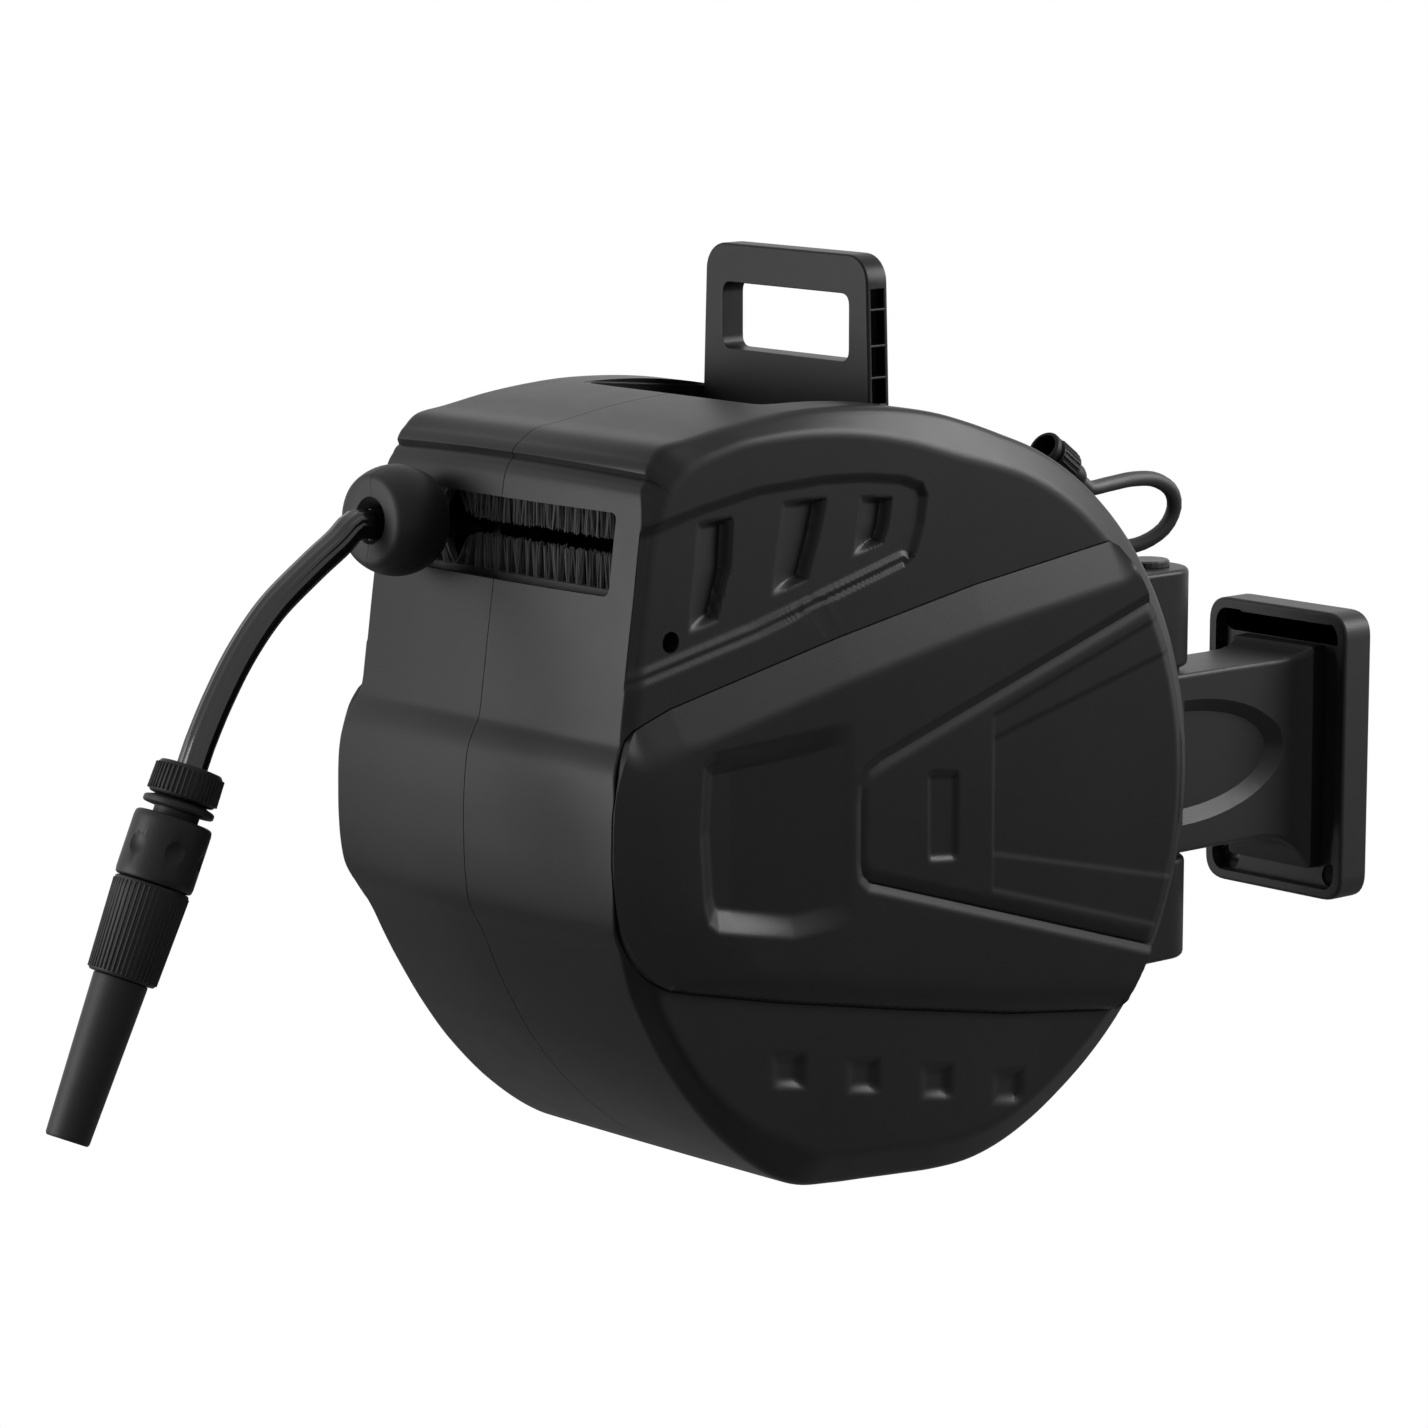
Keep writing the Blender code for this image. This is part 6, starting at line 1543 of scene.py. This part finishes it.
def make_feed_hose(look):
    """The feed hose as one cord, with the tap connector on its end."""
    rubber = extruded("feed_rubber", tone(look.hose_colour, 0.3), look.hose_roughness + 0.40)
    plastic = connector_plastic(look, "tap_plastic", 0.4)
    path = feed_route()
    hose = tube_mesh("feed_hose", path, FEED_RADIUS, 20)
    finish_piece(hose, "casing", rubber, ("feed_hose_inlet", "feed_coil", "feed_hose_tap"), 60)
    end = TAIL_LENGTH
    tail = ((0, end), (0.0075, end), (0.0075, 0.004), (0.0062, 0), (0, 0))
    nut = (
        (0, end + 0.008), (0.008, end + 0.008), (0.008, 0.0372), (0.0098, 0.0372), (0.0104, 0.0362),
        (0.0104, 0.0335), (0.0080, 0.0330), (0.0080, 0.0300), (0.0102, 0.0295), (0.0104, 0.0125),
        (0.0080, end + GAP), (0, end + GAP),
    )
    tail = turned("tap_ferrule", tail, 0.0006, 48)
    nut = turned("tap_nut", nut, 0.0004, 64)
    nut = ribbed(nut, plastic, 22, (0.0103, 0.0102), (0.0140, 0.0285), 0.0014, 0.0014)
    for obj, node, angle in ((tail, "tap_tail", 38), (nut, "tap_connector", 34)):
        place_mesh(obj, frame_along(TAP_END, TAP_DIRECTION))
        finish_piece(obj, "casing", plastic, (node,), angle)


def make_inlet(look):
    """The swivel inlet elbow on the far side, with its spigot."""
    profile = (
        (0, -0.1128), (0.0195, -0.1128), (0.0195, -0.1250), (0.0182, -0.1262), (0.0182, -0.1300),
        (0.0196, -0.1312), (0.0196, -0.1500), (0.0172, -0.1527), (0, -0.1527),
    )
    hub = place_mesh(turned("inlet_elbow", profile, 0.0008, 64), along("X", 0, *DRUM))
    spigot = ((0, -0.4612), (0.0066, -0.4612), (0.0074, -0.4600), (0.0074, -0.4300), (0, -0.4300))
    turn = Matrix(((1, 0, 0, INLET_X), (0, 0, 1, 0), (0, -1, 0, DRUM[1]), (0, 0, 0, 1)))
    hub = boolean(hub, [place_mesh(turned("spigot", spigot, 0.0006, 40), turn)], "UNION")
    finish_piece(hub, "casing", connector_plastic(look), ("inlet_fitting",), 34)


# What stays from the frame
def dress_frame(look):
    """Gives the frame's own nodes that still show a material of their own."""
    metal = steel("zinc_steel", look.steel_colour, look.steel_roughness)
    nylon = moulded("gear_nylon", look.mechanism_colour, 0.45, 0.2)
    materials = {"guide_carriage": moulded("guide_plastic", look.casing_colour, 0.5, 0.3)}
    materials |= dict.fromkeys(STEEL_NODES, metal)
    materials |= dict.fromkeys(COATED_NODES, steel("coated_steel", tone(look.steel_colour, 0.10), 0.42))
    for name, obj in frame["nodes"].items():
        material = materials.get(name, nylon)
        if obj.data.materials:
            obj.data.materials[0] = material
        else:
            obj.data.materials.append(material)


# Stage
def add_light(name, place, target, size, power):
    """A rectangular light at a place, turned to a target."""
    light = bpy.data.lights.new(name, "AREA")
    light.shape = "RECTANGLE"
    light.size, light.size_y = size
    light.energy = power
    obj = new_object(name, light)
    obj.location = place
    obj.rotation_euler = (Vector(target) - Vector(place)).to_track_quat("-Z", "Y").to_euler()


def make_floor():
    """A floor that catches light and that the camera sees as white."""
    corners = ((-4, -4, FLOOR_Z), (4, -4, FLOOR_Z), (4, 4, FLOOR_Z), (-4, 4, FLOOR_Z))
    floor = add_mesh("floor", corners, ((0, 1, 2, 3),))
    recipe = Recipe("pale_floor")
    recipe.set(Base_Color=FLOOR_GREY, Roughness=0.9)
    path = recipe.add("ShaderNodeLightPath").outputs
    glow = recipe.value("ShaderNodeEmission", Color=WHITE, Strength=1.0)
    grey = recipe.shader.outputs[0]
    both = recipe.value("ShaderNodeMixShader", i0=path["Is Camera Ray"], i1=grey, i2=glow)
    recipe.surface("Material Output", both)
    floor.data.materials.append(recipe.material)


def make_world(look):
    """Even light from all round, seen as white by the camera and in reflections."""
    world = bpy.data.worlds.new("studio")
    bpy.context.scene.world = world
    world.use_nodes = True
    studio = Nodes(world.node_tree)
    path = studio.add("ShaderNodeLightPath").outputs
    seen = Value(studio, path["Is Camera Ray"])
    for ray in ("Is Transmission Ray", "Is Glossy Ray"):
        seen = seen.math("MAXIMUM", path[ray])
    even = studio.tree.nodes["Background"]
    studio.feed(even.inputs["Color"], WHITE)
    studio.feed(even.inputs["Strength"], look.world_strength)
    white = studio.value("ShaderNodeBackground", Color=WHITE, Strength=1.0)
    both = studio.value("ShaderNodeMixShader", i0=seen, i1=even.outputs[0], i2=white)
    studio.surface("World Output", both)


def make_stage(look):
    """Floor, world, lights and the camera of the photograph."""
    scene = bpy.context.scene
    scene.view_settings.view_transform = "Standard"
    make_world(look)
    make_floor()
    target = (0, -0.43, 0.05)
    add_light("left_softbox", (-1.4, -3.2, 0.05), target, (2.0, 2.8), look.left_light)
    add_light("right_softbox", (0.80, 0.75, 0.80), (0.1, -0.35, 0.08), (0.6, 0.8), look.right_light)
    add_light("top_softbox", (-0.2, -0.5, 2.2), target, (1.4, 1.2), look.top_light)
    lens = bpy.data.cameras.new("photo_camera")
    lens.sensor_width = 36.0
    lens.lens = CAMERA_LENS
    lens.clip_end = 50
    camera = new_object("photo_camera", lens)
    camera.location = CAMERA_PLACE
    camera.rotation_euler = [math.radians(turn) for turn in CAMERA_TURN]
    scene.camera = camera


# Properties
def colour_property(name, description, default):
    """A colour."""
    return bpy.props.FloatVectorProperty(
        name=name, description=description, default=default, size=3, min=0.0, max=1.0, subtype="COLOR"
    )


def share_property(name, description, default, most=1.0):
    """A share, from 0 to a limit."""
    return bpy.props.FloatProperty(
        name=name, description=description, default=default, min=0.0, max=most, subtype="FACTOR"
    )


def power_property(name, description, default):
    """A light's power."""
    return bpy.props.FloatProperty(
        name=name, description=description, default=default, min=0.0, unit="POWER"
    )


def count_property(name, description, default, most):
    """A whole number of pieces."""
    return bpy.props.IntProperty(
        name=name, description=description, default=default, min=4, max=most, subtype="UNSIGNED"
    )


class HOSEREEL_PG_look(bpy.types.PropertyGroup):
    """Colours, counts and light levels that a user would change"""

    casing_colour: colour_property("Casing Colour", "Colour of both casing halves", (0.0115, 0.0115, 0.0118))
    cover_colour: colour_property(
        "Cover Colour", "Colour of the side bands and covers", (0.0072, 0.0072, 0.0074)
    )
    bracket_colour: colour_property("Bracket Colour", "Colour of the wall bracket", (0.022, 0.022, 0.0225))
    handle_colour: colour_property("Handle Colour", "Colour of the carrying handle", (0.0035, 0.0035, 0.0036))
    hose_colour: colour_property("Hose Colour", "Colour of both hoses", (0.008, 0.008, 0.0083))
    connector_colour: colour_property(
        "Connector Colour", "Colour of the nozzle and its connectors", (0.018, 0.018, 0.0185)
    )
    bristle_colour: colour_property("Bristle Colour", "Colour of the brush strands", (0.065, 0.065, 0.065))
    mechanism_colour: colour_property("Mechanism Colour", "Colour of drum and gears", (0.16, 0.16, 0.165))
    steel_colour: colour_property("Steel Colour", "Colour of pins, screws and springs", (0.45, 0.45, 0.46))
    casing_roughness: share_property("Casing Roughness", "Roughness of the large mouldings", 0.40)
    connector_roughness: share_property("Connector Roughness", "Roughness of the nozzle and connectors", 0.48)
    hose_roughness: share_property("Hose Roughness", "Roughness of the hoses", 0.17)
    steel_roughness: share_property("Steel Roughness", "Roughness of the steel parts", 0.32)
    grain: share_property("Grain", "Strength of the fine moulded grain", 0.25)
    tufts: count_property("Tufts", "Tufts in each brush strip", 21, 60)
    strands_per_tuft: count_property("Strands per Tuft", "Strands in each tuft", 26, 80)
    world_strength: share_property("World Strength", "Strength of the even light from all round", 0.05, 2.0)
    left_light: power_property("Left Light", "Power of the large light on the camera's left", 125.0)
    right_light: power_property("Right Light", "Power of the light behind on the right", 26.0)
    top_light: power_property("Top Light", "Power of the light overhead", 3.0)


# Operators and panel
class PieceOperator:
    """What the operators share: each builds its pieces on a frame that is there."""

    bl_options = {"REGISTER", "UNDO"}

    def execute(self, context):
        if not frame["nodes"]:
            raise RuntimeError("the frame holds no nodes")
        self.build(context.scene.hose_reel_look)
        return {"FINISHED"}


class HOSEREEL_OT_stage(PieceOperator, bpy.types.Operator):
    """Add the floor, the lights and the camera"""

    bl_idname = "hose_reel.stage"
    bl_label = "Stage and Camera"
    build = staticmethod(make_stage)


class HOSEREEL_OT_outgoing_hose(PieceOperator, bpy.types.Operator):
    """Add the outgoing hose with its nozzle"""

    bl_idname = "hose_reel.outgoing_hose"
    bl_label = "Outgoing Hose"
    build = staticmethod(make_outgoing_hose)


class HOSEREEL_OT_feed_hose(PieceOperator, bpy.types.Operator):
    """Add the feed hose with its coil and tap connector"""

    bl_idname = "hose_reel.feed_hose"
    bl_label = "Feed Hose"
    build = staticmethod(make_feed_hose)


class HOSEREEL_OT_casing(PieceOperator, bpy.types.Operator):
    """Add both casing halves, the ears and the recess tub"""

    bl_idname = "hose_reel.casing"
    bl_label = "Casing"
    build = staticmethod(make_casing)


class HOSEREEL_OT_side_panels(PieceOperator, bpy.types.Operator):
    """Add the side bands and covers"""

    bl_idname = "hose_reel.side_panels"
    bl_label = "Side Panels"
    build = staticmethod(make_side_panels)


class HOSEREEL_OT_brushes(PieceOperator, bpy.types.Operator):
    """Add both brush strips"""

    bl_idname = "hose_reel.brushes"
    bl_label = "Brushes"
    build = staticmethod(make_brushes)


class HOSEREEL_OT_handle(PieceOperator, bpy.types.Operator):
    """Add the carrying handle"""

    bl_idname = "hose_reel.handle"
    bl_label = "Handle"
    build = staticmethod(make_handle)


class HOSEREEL_OT_bracket(PieceOperator, bpy.types.Operator):
    """Add the wall plate and the arm"""

    bl_idname = "hose_reel.bracket"
    bl_label = "Bracket"
    build = staticmethod(make_bracket)


class HOSEREEL_OT_hose_stop(PieceOperator, bpy.types.Operator):
    """Add the two halves of the hose stop"""

    bl_idname = "hose_reel.hose_stop"
    bl_label = "Hose Stop"
    build = staticmethod(make_hose_stop)


class HOSEREEL_OT_hose_lead(PieceOperator, bpy.types.Operator):
    """Add the hose between drum and stop"""

    bl_idname = "hose_reel.hose_lead"
    bl_label = "Hose Lead"
    build = staticmethod(make_hose_lead)


class HOSEREEL_OT_wound_hose(PieceOperator, bpy.types.Operator):
    """Add the hose wound on the drum"""

    bl_idname = "hose_reel.wound_hose"
    bl_label = "Wound Hose"
    build = staticmethod(make_wound_hose)


class HOSEREEL_OT_inlet(PieceOperator, bpy.types.Operator):
    """Add the water inlet"""

    bl_idname = "hose_reel.inlet"
    bl_label = "Inlet"
    build = staticmethod(make_inlet)


class HOSEREEL_OT_frame_materials(PieceOperator, bpy.types.Operator):
    """Give the frame's own parts their materials"""

    bl_idname = "hose_reel.frame_materials"
    bl_label = "Frame Materials"
    build = staticmethod(dress_frame)


OPERATORS = (
    HOSEREEL_OT_stage,
    HOSEREEL_OT_outgoing_hose,
    HOSEREEL_OT_feed_hose,
    HOSEREEL_OT_casing,
    HOSEREEL_OT_side_panels,
    HOSEREEL_OT_brushes,
    HOSEREEL_OT_handle,
    HOSEREEL_OT_bracket,
    HOSEREEL_OT_hose_stop,
    HOSEREEL_OT_hose_lead,
    HOSEREEL_OT_wound_hose,
    HOSEREEL_OT_inlet,
    HOSEREEL_OT_frame_materials,
)


class HOSEREEL_PT_panel(bpy.types.Panel):
    """Lists the hose reel's operators in the sidebar"""

    bl_idname = "HOSEREEL_PT_panel"
    bl_label = "Hose Reel"
    bl_space_type = "VIEW_3D"
    bl_region_type = "UI"
    bl_category = "Hose Reel"

    def draw(self, context):
        for item in OPERATORS:
            self.layout.operator(item.bl_idname)


CLASSES = (HOSEREEL_PG_look, *OPERATORS, HOSEREEL_PT_panel)


def register():
    """Adds the classes and the look's properties."""
    for item in CLASSES:
        bpy.utils.register_class(item)
    bpy.types.Scene.hose_reel_look = bpy.props.PointerProperty(type=HOSEREEL_PG_look)


def unregister():
    """Takes away what register adds."""
    del bpy.types.Scene.hose_reel_look
    for item in reversed(CLASSES):
        bpy.utils.unregister_class(item)


def main():
    """Builds every piece."""
    register()
    for item in OPERATORS:
        key = item.bl_idname.split(".")[1]
        getattr(bpy.ops.hose_reel, key)()


if __name__ == "__main__":
    main()
